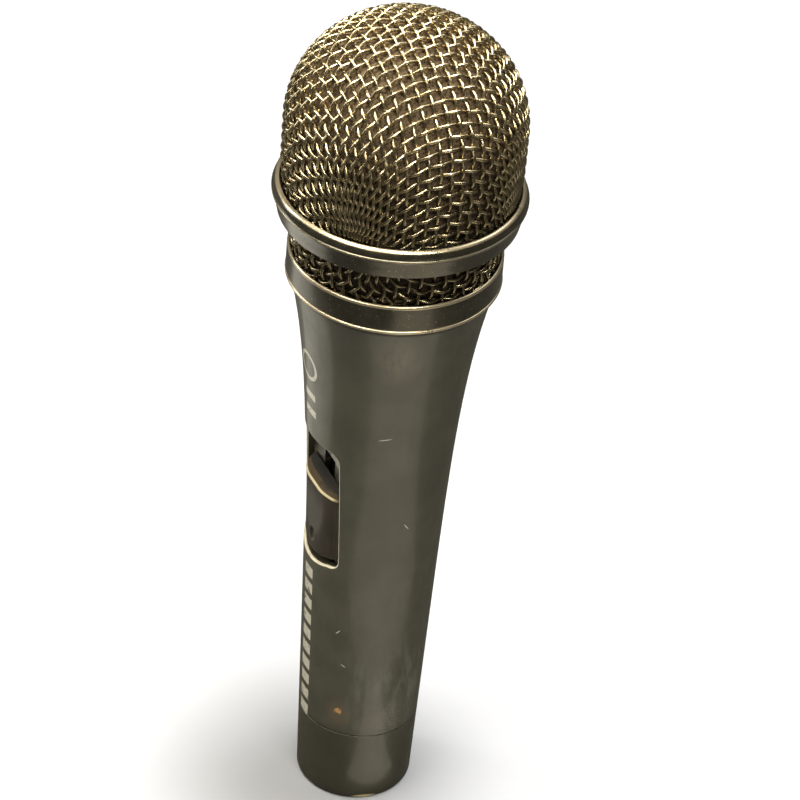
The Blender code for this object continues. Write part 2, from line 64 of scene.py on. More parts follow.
TAIL_RADIUS = 11.7
TAPER = 0.030
FLARE = 4.2
FLARE_POWER = 6.2
WALL = 2.0
NECK_RADIUS = 17.3
NECK_BORE = 15.3
GAP = 0.3
SEAM = 0.10              # the fine step line between the handle and its tail
FLUSH = 0.35

SHOULDER = 123.95
HANDLE_LOW, NECK_TOP = extent("handle_shell")[:2]
COLLAR_TOP = HANDLE_LOW - GAP
HEAD_LOW, TOP, HEAD_RADIUS = extent("dome_mesh")
LOWER_HIGH = extent("lower_mesh")[1]
BASE_RING_TOP = extent("base_ring")[1]
DOME_START = 158.5
SIDE_PULL_IN = 152.0     # the head narrows a little below this height
SHADE_HEIGHTS = (128.0, 170.0)      # painted shade on the head's wire and foam fades out between these heights

WINDOW_HALF_WIDTH = 7.8
WINDOW_BOTTOM = 59.0
WINDOW_TOP = 89.0
WINDOW_SAG = 1.2
WINDOW_CORNER = 2.0
SLIDER_BOTTOM, SLIDER_TOP = extent("switch_slider")[:2]
LIP_DROP = 2.3           # the thumb plate's upper edge leans this far down at its face
BED_FACE = -10.4

# The woven wire. A weave has the pitches of its warp and weft, where their wires pass the pole
# (in pitches), the warp's turn from +X (in degrees) and a parity: which wires start on top.
WIRE_RADIUS = 0.335
CRIMP = 0.335            # how far a wire swings to each side of the middle surface
MESH_DEPTH = 0.68        # the middle surface lies this far inside the mesh's outer size
HEAD_WEAVE = {"pitches": (2.228, 2.181), "shifts": (-0.063, 0.716), "turn": -1.2, "parity": 0}
LOWER_WEAVE = {"pitches": (2.398, 2.3715), "shifts": (0.620, 0.6105), "turn": 3.9, "parity": 1}
LOWER_CUP_BASE = 127.74            # height of the drawn cup's floor, before it is cut out
LOWER_CUP_CORNER = 1.5


def handle_radius(height):
    """The handle's outer radius: a straight taper with a flare to the shoulder."""
    return TAIL_RADIUS + TAPER * height + FLARE * (max(height, 0.0) / SHOULDER) ** FLARE_POWER


def side_radius(height):
    """The head's outer radius between the crown ring and the start of the dome."""
    if height < SIDE_PULL_IN:
        return HEAD_RADIUS - 0.5 * ((SIDE_PULL_IN - height) / 7.0) ** 2
    return HEAD_RADIUS


def lower_radius(height):
    """The outer radius of the mesh cone between the two rings."""
    return 20.0 + 0.16 * (height - BASE_RING_TOP)


# ---- mesh helpers

def new_object(name, data):
    """A new object in the scene."""
    thing = bpy.data.objects.new(name, data)
    bpy.context.scene.collection.objects.link(thing)
    return thing


def add_piece(name, mesh, body, slot, node):
    """A mesh with its slot's finish, which rides on a CAD body and stands in for a CAD node."""
    mesh.materials.clear()
    mesh.materials.append(PAINTS[slot])
    piece = new_object(name, mesh)
    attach(piece, body)
    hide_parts(node)
    return piece


def finish_mesh(name, strips, sharp=40.0):
    """A smooth-shaded mesh from strips in millimetres, welded and with its faces facing out."""
    mesh = bpy.data.meshes.new(name)
    mesh.from_pydata([tuple(c * MM for c in point) for point in strips.points], [], strips.faces)
    shape = bmesh.new()
    shape.from_mesh(mesh)
    bmesh.ops.remove_doubles(shape, verts=shape.verts, dist=1e-6)
    bmesh.ops.recalc_face_normals(shape, faces=shape.faces)
    shape.to_mesh(mesh)
    shape.free()
    mesh.shade_smooth()
    mesh.set_sharp_from_angle(angle=math.radians(sharp))
    return mesh


class Strips:
    """Collects closed rows of points and joins neighbouring rows with quads."""

    def __init__(self):
        self.points = []
        self.faces = []

    def row(self, points):
        start = len(self.points)
        self.points += [tuple(point) for point in points]
        return range(start, len(self.points))

    def join(self, first, second, skip=()):
        for i in range(len(first)):
            k = (i + 1) % len(first)
            if i not in skip:
                self.faces.append((first[i], first[k], second[k], second[i]))

    def loft(self, rows):
        made = [self.row(row) for row in rows]
        for first, second in zip(made, made[1:]):
            self.join(first, second)
        return made


def spaced(start, end, count):
    return [start + (end - start) * i / (count - 1) for i in range(count)]


def arc(start, end, count):
    """The cosine and sine of evenly spaced angles, given in degrees."""
    return [(math.cos(math.radians(a)), math.sin(math.radians(a))) for a in spaced(start, end, count)]


def circle(radius, height, count):
    turns = [2 * math.pi * k / count for k in range(count)]
    return [(radius * math.cos(a), radius * math.sin(a), height) for a in turns]


def rounded(outline, radius, steps=4, closed=True):
    """An outline whose corners are rounded off by arcs of about that radius."""
    made = []
    count = len(outline)
    for i, corner in enumerate(outline):
        if not closed and i in (0, count - 1):
            made.append(corner)
            continue
        corner = Vector(corner)
        before = Vector(outline[i - 1]) - corner
        after = Vector(outline[(i + 1) % count]) - corner
        cut = min(radius, before.length * 0.45, after.length * 0.45)
        start = corner + before.normalized() * cut
        end = corner + after.normalized() * cut
        for t in spaced(0.0, 1.0, steps + 1):
            point = start * (1 - t) ** 2 + corner * (2 * t * (1 - t)) + end * t ** 2
            made.append((point.x, point.y))
    return made


def turned_mesh(name, outline, segments, closed=True, sharp=40.0):
    """Turns an outline of (radius, height) points about Z."""
    strips = Strips()
    rows = [circle(radius, height, segments) for radius, height in outline]
    strips.loft(rows + rows[:1] if closed else rows)
    return finish_mesh(name, strips, sharp)


# ---- material helpers

def put(tree, socket, value):
    """Links a field to a socket, or sets the socket to a plain value. None leaves it as it is."""
    if isinstance(value, Field):
        tree.links.new(value.socket, socket)
    elif value is not None:
        socket.default_value = (*value, 1.0) if socket.type == "RGBA" else value


def add_node(tree, kind, output, inputs, **settings):
    """Adds a node with its settings and inputs, and returns one of its outputs as a field."""
    node = tree.nodes.new(kind)
    for key, value in settings.items():
        setattr(node, key, value)
    for key, value in inputs.items():
        put(tree, node.inputs[key], value)
    return Field(tree, node.outputs[output])


class Field:
    """A number, vector or colour that varies over a surface. Sums and products add nodes."""

    def __init__(self, tree, socket):
        self.tree = tree
        self.socket = socket

    def math(self, operation, other=None):
        return add_node(self.tree, "ShaderNodeMath", 0, {0: self, 1: other}, operation=operation)

    def __add__(self, other):
        return self.math("ADD", other)

    def __sub__(self, other):
        return self.math("SUBTRACT", other)

    def __mul__(self, other):
        return self.math("MULTIPLY", other)

    def distance(self, other):
        """How far a point is from the origin, where these two are its coordinates."""
        return (self * self + other * other).math("POWER", 0.5)

    def ramp(self, low, high, to_low=0.0, to_high=1.0):
        """Maps low..high smoothly to to_low..to_high."""
        numbers = {"Value": self, "From Min": low, "From Max": high, "To Min": to_low, "To Max": to_high}
        return add_node(self.tree, "ShaderNodeMapRange", "Result", numbers, interpolation_type="SMOOTHSTEP")

    def between(self, low, high, soft=0.06):
        """1 between low and high, and 0 elsewhere."""
        return self.ramp(low - soft, low + soft) * self.ramp(high - soft, high + soft, 1.0, 0.0)


class Paint:
    """A material that is built up in coats. Its sizes, places and depths are in millimetres."""

    def __init__(self, name, colour, roughness, metallic=0.0, **sockets):
        self.material = bpy.data.materials.new(name)
        self.material.use_nodes = True
        self.material.diffuse_color = (*colour, 1.0)
        self.tree = self.material.node_tree
        self.shader = self.tree.nodes["Principled BSDF"]
        self.place = add_node(self.tree, "ShaderNodeTexCoord", "Object", {})
        self.base = None
        self.normal = None
        self.set("Base Color", colour)
        self.set("Roughness", roughness)
        self.set("Metallic", metallic)
        for key, value in sockets.items():
            self.set(key.replace("_", " "), value)

    def set(self, key, value):
        put(self.tree, self.shader.inputs[key], value)

    def stretched(self, scale):
        return add_node(self.tree, "ShaderNodeMapping", "Vector", {"Vector": self.place, "Scale": scale})

    def noise(self, size, detail=3.0, roughness=0.5, stretch=None):
        """Noise whose blotches are about size millimetres across."""
        place = self.stretched(stretch) if stretch else self.place
        numbers = {"Vector": place, "Scale": 1.0 / (size * MM), "Detail": detail, "Roughness": roughness}
        return add_node(self.tree, "ShaderNodeTexNoise", "Fac", numbers)

    def cells(self, size):
        numbers = {"Vector": self.place, "Scale": 1.0 / (size * MM)}
        return add_node(self.tree, "ShaderNodeTexVoronoi", "Distance", numbers)

    def axis(self, letter):
        return add_node(self.tree, "ShaderNodeSeparateXYZ", letter, {0: self.place}).math("DIVIDE", MM)

    def blot(self, azimuth, height, size, lean=0.0):
        """1 at a spot on the handle's surface, falling to 0 at the edge of an ellipsoid of that size."""
        radius = handle_radius(height)
        turn = math.radians(azimuth)
        numbers = {
            "Vector": self.place,
            "Location": (radius * math.sin(turn) * MM, -radius * math.cos(turn) * MM, height * MM),
            "Rotation": (0.0, math.radians(lean), turn),
            "Scale": tuple(side * MM for side in size),
        }
        spot = add_node(self.tree, "ShaderNodeMapping", "Vector", numbers, vector_type="TEXTURE")
        far = add_node(self.tree, "ShaderNodeVectorMath", "Value", {0: spot}, operation="LENGTH")
        return (far * -1.0 + 1.0).math("MAXIMUM", 0.0)

    def blend(self, share, first, second):
        """Colours the surface from first to second as share goes from 0 to 1."""
        colours = {"Factor": share, 6: first, 7: second}
        self.base = add_node(self.tree, "ShaderNodeMix", 2, colours, data_type="RGBA")
        self.set("Base Color", self.base)

    def cover(self, share, colour):
        """Lays a colour over the coats that are there, where share is 1."""
        self.blend(share, self.base, colour)

    def rough(self, value):
        self.set("Roughness", value)

    def bump(self, value, strength, depth):
        """Raises the surface by value times depth millimetres."""
        numbers = {"Strength": strength, "Distance": depth * MM, "Height": value, "Normal": self.normal}
        self.normal = add_node(self.tree, "ShaderNodeBump", "Normal", numbers)
        self.set("Normal", self.normal)


# ---- materials

SCRATCHES = ((67.0, 96.0, 1.6, 78.0), (91.0, 73.0, 1.1, -35.0), (40.0, 44.5, 0.9, 40.0),
             (47.0, 36.0, 0.7, -60.0))      # azimuth, height, length and lean of each


def shaded(colour, share):
    return tuple(min(1.0, c * share) for c in colour)


def body_paint():
    """Satin black-olive paint with a fine grain, marks from handling, generic printed marks and painted
    highlights.
    """
    paint = Paint("satin_body_paint", (0.040, 0.038, 0.029), 0.42, Specular_IOR_Level=0.6,
                  Coat_Weight=0.35, Coat_Roughness=0.12)
    x, y, z = (paint.axis(letter) for letter in "XYZ")
    fine = paint.noise(0.28, 2.0)
    cloud = paint.noise(9.0, 4.0, 0.6)
    smear = paint.noise(3.0, 5.0, 0.65, stretch=(1.0, 1.0, 0.35))
    paint.blend(cloud.ramp(0.35, 0.7), (0.040, 0.038, 0.026), (0.052, 0.049, 0.034))
    dust = paint.blot(96.0, 30.0, (15.0, 9.0, 19.0)) * smear.ramp(0.45, 0.66)
    low_dust = paint.blot(100.0, 20.0, (6.0, 6.0, 8.0)) * fine.ramp(0.40, 0.62)
    paint.cover(dust * 0.28, (0.21, 0.21, 0.18))
    paint.cover(low_dust * 0.5, (0.18, 0.17, 0.14))
    halo = paint.blot(44.0, 23.0, (3.4, 3.0, 4.6)).ramp(0.0, 0.7)
    paint.cover(halo * 0.55, (0.090, 0.066, 0.036))
    rust = paint.blot(44.5, 23.4, (1.0, 1.2, 1.3), 20.0).ramp(0.1, 0.45)
    paint.cover(rust * paint.noise(1.1, 3.0, 0.6).ramp(0.40, 0.52), (0.36, 0.19, 0.06))
    for azimuth, height, length, lean in SCRATCHES:
        scratch = paint.blot(azimuth, height, (0.13, 0.6, length), lean)
        paint.cover(scratch.ramp(0.0, 0.4), (0.36, 0.35, 0.29))
    paint.cover(z.ramp(COLLAR_TOP - 1.0, COLLAR_TOP + 2.5, 0.5, 0.0), (0.018, 0.016, 0.009))
    marks = printed_marks(x, z) * y.ramp(-1.0, 0.0, 1.0, 0.0)
    paint.cover(marks * paint.noise(0.9, 3.0).ramp(0.30, 0.42), (0.40, 0.38, 0.31))
    # The window's rim: paint rubbed through to pale metal, and a painted highlight.
    rim = rim_wear_and_highlight(x, y, z) * paint.noise(2.0, 3.0).ramp(0.25, 0.5, 0.65, 1.0)
    paint.cover(rim, (0.46, 0.43, 0.34))
    # A painted reflection: a lighter patch high on the handle, below the shoulder.
    painted_reflection_patch = paint.blot(71.0, 117.0, (5.5, 5.0, 8.0)) * smear.ramp(0.3, 0.6)
    paint.cover(painted_reflection_patch, (0.105, 0.090, 0.058))
    # A cream line along the foot's edge: worn metal, and a painted highlight.
    foot = paint.blot(77.0, 0.6, (3.0, 7.5, 0.55)).ramp(0.0, 0.5) * cloud.ramp(0.35, 0.6, 0.3, 1.0)
    paint.cover(foot, (0.62, 0.50, 0.24))
    paint.rough(smear.ramp(0.3, 0.75, 0.36, 0.50) + dust * 0.3)
    paint.bump(fine, 0.35, 0.02)
    paint.bump(cloud, 0.2, 0.05)
    return paint.material


def rim_wear_and_highlight(x, y, z):
    """The window's rim, painted pale: paint rubbed through to metal, and a painted highlight along the
    edge.
    """
    inner = WINDOW_HALF_WIDTH - WINDOW_CORNER
    across = (x.math("ABSOLUTE") - inner).math("MAXIMUM", 0.0)
    sag = (x.math("ABSOLUTE") * (1.0 / inner)).math("POWER", 2.0).math("MINIMUM", 1.0) * WINDOW_SAG
    below = sag + (WINDOW_BOTTOM + WINDOW_CORNER) - z
    above = z - (WINDOW_TOP - WINDOW_CORNER)
    along = below.math("MAXIMUM", above).math("MAXIMUM", 0.0)
    rim = (along.distance(across) - WINDOW_CORNER).between(-2.0, 0.34)
    slope = (handle_radius(WINDOW_TOP) - handle_radius(WINDOW_BOTTOM)) / (WINDOW_TOP - WINDOW_BOTTOM)
    skin = handle_radius(WINDOW_BOTTOM) - slope * WINDOW_BOTTOM
    on_top = (x.distance(y) - z * slope).ramp(skin - 0.62, skin - 0.5)
    return rim * on_top * y.ramp(-6.0, -5.0, 1.0, 0.0)


def printed_marks(x, z):
    """Plain pale marks along the switch side: a ring over two bars, and a row of short bars."""
    marks = x.distance(z - 106.5).between(2.5, 3.3)
    for low in (98.6, 94.6):
        marks = marks.math("MAXIMUM", x.between(-2.1, 2.1) * z.between(low, low + 1.6))
    step = (z - 17.0).math("MODULO", 4.0)
    bars = step.between(0.7, 3.3) * x.between(-1.7, 1.7) * z.between(17.5, 57.0)
    return marks.math("MAXIMUM", bars)


def ring_paint():
    """Dark glossy metal with faint turning lines, bright specks, and pale rubbed edges that are also
    painted highlights.
    """
    paint = Paint("dark_ring_metal", (0.060, 0.055, 0.040), 0.24, 0.85, Coat_Weight=1.0,
                  Coat_Roughness=0.22)
    smear = paint.noise(5.0, 4.0, 0.6)
    specks = paint.noise(0.45, 2.0).ramp(0.66, 0.72)
    paint.blend(smear.ramp(0.35, 0.7), (0.050, 0.046, 0.033), (0.075, 0.068, 0.048))
    paint.cover(specks * 0.6, (0.34, 0.30, 0.20))
    z = paint.axis("Z")
    crown = extent("crown_ring")[1]
    foot, head = extent("base_ring")[:2]
    # Pale lines along the rings' edges: rubbed metal, and painted highlights where the edges catch the
    # light.
    for low, high, strength in ((crown - 0.45, crown + 0.1, 0.8), (crown - 2.2, crown - 1.8, 0.5),
                                (head - 0.62, head + 0.1, 1.0), (foot + 0.58, foot + 1.14, 1.0)):
        edge = z.between(low, high) * strength
        paint.cover(edge * smear.ramp(0.25, 0.5, 0.6, 1.0), (0.60, 0.52, 0.37))
    paint.rough(smear.ramp(0.3, 0.75, 0.26, 0.38))
    paint.bump(paint.noise(0.25, 2.0, stretch=(0.02, 0.02, 1.0)), 0.12, 0.02)
    return paint.material


def wire_paint():
    """Plated steel wire, brassy where it is rubbed and dull in patches, with painted shade low on the head.
    """
    colour = (0.64, 0.55, 0.37)
    paint = Paint("grille_wire", colour, 0.24, 1.0)
    grime = paint.noise(0.5, 3.0, 0.6)
    paint.blend(paint.noise(3.0, 4.0, 0.6).ramp(0.3, 0.7), shaded(colour, 0.55), colour)
    # Painted shade: the wire darkens low on the head.
    paint.cover(paint.axis("Z").ramp(*SHADE_HEIGHTS, 0.85, 0.0), shaded(colour, 0.30))
    paint.rough(grime.ramp(0.3, 0.7, 0.19, 0.34))
    paint.bump(grime, 0.2, 0.02)
    return paint.material


def foam_paint():
    """Open-cell foam, dusty brown, with painted shade low on the head and in its pits."""
    paint = Paint("windscreen_foam", (0.12, 0.088, 0.056), 0.95, Specular_IOR_Level=0.1)
    pores = paint.cells(0.55)
    paint.blend(paint.noise(4.0, 3.0).ramp(0.3, 0.7), (0.095, 0.069, 0.044), (0.15, 0.11, 0.070))
    # Painted shade: the foam darkens low on the head.
    paint.cover(paint.axis("Z").ramp(*SHADE_HEIGHTS, 0.9, 0.0), (0.024, 0.019, 0.012))
    # Painted shade in the pits of the pores.
    paint.blend(pores.ramp(0.15, 0.5), (0.030, 0.022, 0.014), paint.base)
    paint.bump(pores, 0.8, 0.25)
    return paint.material


def plastic_paint(name, colour, roughness, grain=0.3, contrast=0.25):
    """Moulded plastic or rubber: a fine grain and slightly uneven colour."""
    paint = Paint(name, colour, roughness, Specular_IOR_Level=0.5)
    patch = paint.noise(4.0, 4.0, 0.6)
    paint.blend(patch.ramp(0.3, 0.7), shaded(colour, 1.0 - contrast), shaded(colour, 1.0 + contrast))
    paint.rough(patch.ramp(0.3, 0.7, roughness - 0.06, roughness + 0.08))
    paint.bump(paint.noise(grain, 3.0, 0.6), 0.3, 0.02)
    return paint.material


def metal_paint(name, colour, roughness, brushed=(1.0, 1.0, 1.0)):
    """Bare or plated metal with fine lines and dull patches."""
    paint = Paint(name, colour, roughness, 1.0)
    patch = paint.noise(3.0, 4.0, 0.6)
    paint.blend(patch.ramp(0.3, 0.72), shaded(colour, 0.78), colour)
    paint.rough(patch.ramp(0.3, 0.75, roughness * 0.8, roughness * 1.35))
    paint.bump(paint.noise(0.2, 2.0, stretch=brushed), 0.15, 0.01)
    return paint.material


def slider_paint():
    """Smooth brown-black plastic: a painted highlight along the upper lip, painted shade and brown grease
    above it.
    """
    paint = Paint("slider_plastic", (0.020, 0.016, 0.010), 0.36, Specular_IOR_Level=0.36)
    z = paint.axis("Z")
    patch = paint.noise(5.0, 3.0)
    paint.blend(patch.ramp(0.3, 0.7), (0.017, 0.014, 0.009), (0.026, 0.020, 0.013))
    lip = SLIDER_TOP - LIP_DROP
    # Painted shade on the slider's top, above the lip, down in the window.
    paint.cover(z.ramp(lip + 0.2, lip + 0.4), (0.006, 0.005, 0.004))
    paint.cover(z.between(lip + 0.2, lip + 1.1) * patch.ramp(0.4, 0.6), (0.042, 0.028, 0.013))
    # A painted highlight along the lip, strongest at the slider's face.
    lip_highlight = z.between(lip - 0.24, lip + 0.22) * paint.axis("Y").ramp(-12.6, -11.6, 1.0, 0.25)
    paint.cover(lip_highlight * 0.85, (0.50, 0.43, 0.27))
    paint.rough(z.ramp(lip + 0.2, lip + 0.4, 0.36, 0.75))
    paint.bump(paint.noise(0.3, 3.0), 0.15, 0.01)
    return paint.material


def bed_paint():
    """The black bed of the switch, with its plain pale marking, a small dark patch in it and brown grease.
    """
    paint = Paint("switch_bed_plastic", (0.020, 0.018, 0.014), 0.40)
    x, z = paint.axis("X"), paint.axis("Z")
    patch = paint.noise(1.6, 4.0, 0.6)
    paint.blend(patch.ramp(0.3, 0.7), (0.014, 0.013, 0.011), (0.032, 0.029, 0.022))
    paint.cover(x.between(0.3, 6.4) * z.between(82.6, 88.4), (0.17, 0.16, 0.13))
    # A small dark patch in the marking.
    paint.cover(x.between(3.6, 5.2) * z.between(84.4, 86.2), (0.020, 0.018, 0.014))
    grease = z.between(79.0, 80.6) * patch.ramp(0.45, 0.65)
    paint.cover(grease * 0.8, (0.16, 0.10, 0.04))
    paint.rough(patch.ramp(0.3, 0.7, 0.30, 0.50))
    return paint.material


def felt_paint():
    paint = Paint("acoustic_felt", (0.30, 0.29, 0.27), 0.98, Sheen_Weight=0.4, Specular_IOR_Level=0.1)
    hair = paint.noise(0.25, 4.0, 0.7)
    paint.blend(hair.ramp(0.3, 0.7), (0.20, 0.19, 0.17), (0.38, 0.36, 0.33))
    paint.bump(hair, 0.9, 0.15)
    return paint.material


def board_paint():
    """Green circuit board: lacquered laminate with pale tracks."""
    paint = Paint("circuit_board_green", (0.02, 0.11, 0.045), 0.35, Coat_Weight=0.4, Coat_Roughness=0.2)
    paint.blend(paint.noise(0.4, 2.0).ramp(0.3, 0.7), (0.014, 0.085, 0.034), (0.03, 0.14, 0.06))
    stripes = paint.axis("X").math("PINGPONG", 1.8).between(1.2, 1.6)
    tracks = stripes * paint.axis("Z").between(56.0, 92.0)
    paint.cover(tracks * 0.6, (0.08, 0.28, 0.10))
    paint.bump(tracks, 0.5, 0.04)
    return paint.material


def winding_paint(name, pitch):
    """Enamelled copper wire wound in close turns, with painted shade between the turns."""
    paint = Paint(name, (0.62, 0.27, 0.11), 0.30, 1.0, Coat_Weight=0.4, Coat_Roughness=0.2)
    turns = paint.axis("Z").math("PINGPONG", pitch / 2).ramp(0.0, pitch / 2)
    # Painted shade between the turns, lighter on their crowns.
    paint.blend(turns, (0.20, 0.07, 0.03), (0.68, 0.30, 0.13))
    paint.bump(turns, 0.8, pitch / 2)
    return paint.material


# The finish of each slot, and of the switch's bed.
PAINTS = {
    "satin_paint": body_paint(),
    "ring_metal": ring_paint(),
    "mesh_wire": wire_paint(),
    "foam": foam_paint(),
    "slider_plastic": slider_paint(),
    "bed": bed_paint(),
    "felt": felt_paint(),
    "board": board_paint(),
    "copper": winding_paint("copper_winding", 0.24),
    "steel": metal_paint("bright_steel", (0.56, 0.55, 0.52), 0.30),
    "nickel": metal_paint("nickel_plate", (0.62, 0.59, 0.52), 0.24, (0.05, 0.05, 1.0)),
    "brass": metal_paint("brass", (0.72, 0.52, 0.22), 0.28),
    "magnet_alloy": metal_paint("magnet_alloy", (0.27, 0.27, 0.28), 0.42),
    "black_plastic": plastic_paint("black_plastic", (0.018, 0.018, 0.017), 0.48),
    "rubber": plastic_paint("black_rubber", (0.020, 0.020, 0.020), 0.78, 0.5),
    "film": plastic_paint("diaphragm_film", (0.62, 0.60, 0.54), 0.28, 0.8, 0.08),
    "red_sleeve": plastic_paint("red_sleeve", (0.42, 0.03, 0.02), 0.42),
    "white_sleeve": plastic_paint("white_sleeve", (0.66, 0.64, 0.60), 0.42, 0.3, 0.08),
    "green_sleeve": plastic_paint("green_sleeve", (0.04, 0.24, 0.07), 0.42),
}


# ---- the woven wire

class Surface:
    """A turned surface, read by the distance along its profile from its pole.

    facing is 1 where the pole is the top and -1 where it is the bottom.
    """

    def __init__(self, profile, facing):
        self.facing = facing
        radii, heights = (np.array(row, float) for row in zip(*profile))
        steps = np.hypot(np.diff(radii), np.diff(heights))
        self.distances = np.concatenate([[0.0], np.cumsum(steps)])
        self.radii = radii
        self.heights = heights
        self.length = self.distances[-1]

    def at(self, distance):
        radius = float(np.interp(distance, self.distances, self.radii))
        return radius, float(np.interp(distance, self.distances, self.heights))

    def point(self, turn, distance):
        radius, height = self.at(distance)
        return np.array([radius * math.cos(turn), radius * math.sin(turn), height])

    def slopes(self, turn, distance, step=0.02):
        """How the point moves with turn and with distance."""
        radius = self.at(distance)[0]
        (r0, z0), (r1, z1) = self.at(distance - step), self.at(distance + step)
        dr, dz = (r1 - r0) / (2 * step), (z1 - z0) / (2 * step)
        return (np.array([-radius * math.sin(turn), radius * math.cos(turn), 0.0]),
                np.array([dr * math.cos(turn), dr * math.sin(turn), dz]))

    def outward(self, turn, distance):
        by_turn, by_distance = self.slopes(turn, max(distance, 0.05))
        normal = np.cross(by_distance, by_turn) * self.facing
        return normal / np.linalg.norm(normal)


def corner_of_cell(surface, first, second, opposite, reach_first, reach_second):
    """The fourth corner of a woven cell, at the wires' own pitch from two known corners.

    Corners are (turn, distance). Wire doesn't stretch, so only the cell's angle can give.
    """
    a, b, c = (surface.point(*corner) for corner in (first, second, opposite))
    guess = a + b - c
    turn = math.atan2(guess[1], guess[0])
    turn += 2 * math.pi * round((first[0] - turn) / (2 * math.pi))
    distance = first[1] + second[1] - opposite[1] if opposite[1] > 0 else 1.41 * reach_first
    for _ in range(25):
        point = surface.point(turn, distance)
        miss = np.array([(point - a) @ (point - a) - reach_first ** 2,
                         (point - b) @ (point - b) - reach_second ** 2])
        by_turn, by_distance = surface.slopes(turn, distance)
        slope = 2 * np.array([[(point - side) @ by_turn, (point - side) @ by_distance] for side in (a, b)])
        if abs(np.linalg.det(slope)) < 1e-9:
            return None
        change = np.linalg.solve(slope, miss)
        size = math.hypot(change[0] * max(surface.at(distance)[0], 1.0), change[1])
        change *= min(1.0, reach_first / max(size, 1e-12))
        turn -= change[0]
        distance -= change[1]
        if size < 1e-6:
            break
    folded = np.linalg.norm(point - c) < 0.25 * reach_first
    if size >= 1e-6 or folded or not 0.0 < distance < surface.length:
        return None
    return turn, distance


def drape(surface, pitches, shifts):
    """Drapes a square weave over a surface: {(warp, weft): (turn, distance)} of its crossings.

    The wires along +X and +Y through the pole keep their direction; each quarter between
    them is filled cell by cell.
    """
    nodes = {}
    for sign_x, sign_y in ((1, 1), (-1, 1), (-1, -1), (1, -1)):
        rows = []
        for sign, pitch, shift in zip((sign_x, sign_y), pitches, shifts):
            count = int(surface.length / pitch) + 2
            places = [((n + shift) * pitch * sign, n) for n in range(-count, count + 1)]
            row = sorted((far, n) for far, n in places if 1e-9 < far <= surface.length)
            rows.append([(0.0, None)] + row)
        start = 0.0 if sign_x > 0 else math.pi * sign_y
        stop = math.pi / 2 * sign_y
        grid = {(0, 0): ((start + stop) / 2, 0.0)}
        grid.update({(i, 0): (start, rows[0][i][0]) for i in range(1, len(rows[0]))})
        grid.update({(0, j): (stop, rows[1][j][0]) for j in range(1, len(rows[1]))})
        for i in range(1, len(rows[0])):
            for j in range(1, len(rows[1])):
                near = [grid.get(key) for key in ((i - 1, j), (i, j - 1), (i - 1, j - 1))]
                if None in near:
                    continue
                reach = rows[0][i][0] - rows[0][i - 1][0], rows[1][j][0] - rows[1][j - 1][0]
                found = corner_of_cell(surface, *near, *reach)
                if found:
                    grid[i, j] = found
        for (i, j), place in grid.items():
            names = rows[0][i][1], rows[1][j][1]
            if None not in names:
                nodes[names] = place
    return nodes


def runs(keys):
    """Splits sorted whole numbers into runs without gaps."""
    made = []
    for key in sorted(keys):
        if made and key == made[-1][-1] + 1:
            made[-1].append(key)
        else:
            made.append([key])
    return made


def crimped_path(places, normals, over, samples=6):
    """A wire's centre line: through its crossings, over one and under the next."""
    path, outward = [], []
    places = [places[0] * 2 - places[1], *places, places[-1] * 2 - places[-2]]
    normals = [normals[0], *normals, normals[-1]]
    for i in range(1, len(places) - 2):
        last = i == len(places) - 3
        for step in range(samples + (1 if last else 0)):
            t = step / samples
            weights = ((-t + 2 * t * t - t ** 3) / 2, (2 - 5 * t * t + 3 * t ** 3) / 2,
                       (t + 4 * t * t - 3 * t ** 3) / 2, (t ** 3 - t * t) / 2)
            middle = sum(w * p for w, p in zip(weights, places[i - 1:i + 3]))
            normal = normals[i] * (1 - t) + normals[i + 1] * t
            normal = normal / np.linalg.norm(normal)
            swing = CRIMP * over * (-1) ** (i - 1) * math.cos(math.pi * t)
            path.append(middle + normal * swing)
            outward.append(normal)
    return np.array(path), np.array(outward)


def tube(strips, path, outward, radius, sides=8):
    """A closed round wire along a path, with its first side facing outward."""
    along = np.gradient(path, axis=0)
    along /= np.linalg.norm(along, axis=1)[:, None]
    across = np.cross(along, outward)
    across /= np.linalg.norm(across, axis=1)[:, None]
    up = np.cross(across, along)
    turns = np.arange(sides) * 2 * math.pi / sides
    rows = [centre + radius * (np.outer(np.cos(turns), u) + np.outer(np.sin(turns), a))
            for centre, u, a in zip(path, up, across)]
    made = strips.loft(rows)
    strips.faces += [tuple(made[0]), tuple(made[-1][::-1])]


def weave(surface, nodes, family, low, high, turn, parity):
    """The wires of one family (0 warp, 1 weft) between two heights, as one mesh's strips."""
    strips = Strips()
    lines = {}
    for key in nodes:
        lines.setdefault(key[1 - family], []).append(key[family])
    for line, spots in lines.items():
        for run in runs(spots):
            keys = [(spot, line) if family == 0 else (line, spot) for spot in run]
            places = [(nodes[key][0] + math.radians(turn), nodes[key][1]) for key in keys]
            kept = [i for i, (_, distance) in enumerate(places) if low < surface.at(distance)[1] < high]
            for part in runs(kept):
                if len(part) < 3:
                    continue
                points = [surface.point(*places[i]) for i in part]
                normals = [surface.outward(*places[i]) for i in part]
                over = 1 if (sum(keys[part[0]]) + parity + family) % 2 == 0 else -1
                path, outward = crimped_path(points, normals, over)
                tube(strips, path, outward, WIRE_RADIUS)
    return strips


def weave_pieces(part, node, surface, low, high, pitches, shifts, turn, parity):
    """Drapes a weave and makes its two families of wires, as two pieces of the grille."""
    nodes = drape(surface, pitches, shifts)
    for family, word in enumerate(("warp", "weft")):
        name = "%s_%s_wires" % (part, word)
        strips = weave(surface, nodes, family, low, high, turn, parity)
        add_piece(name, finish_mesh(name, strips, 60.0), "grille", "mesh_wire", node)


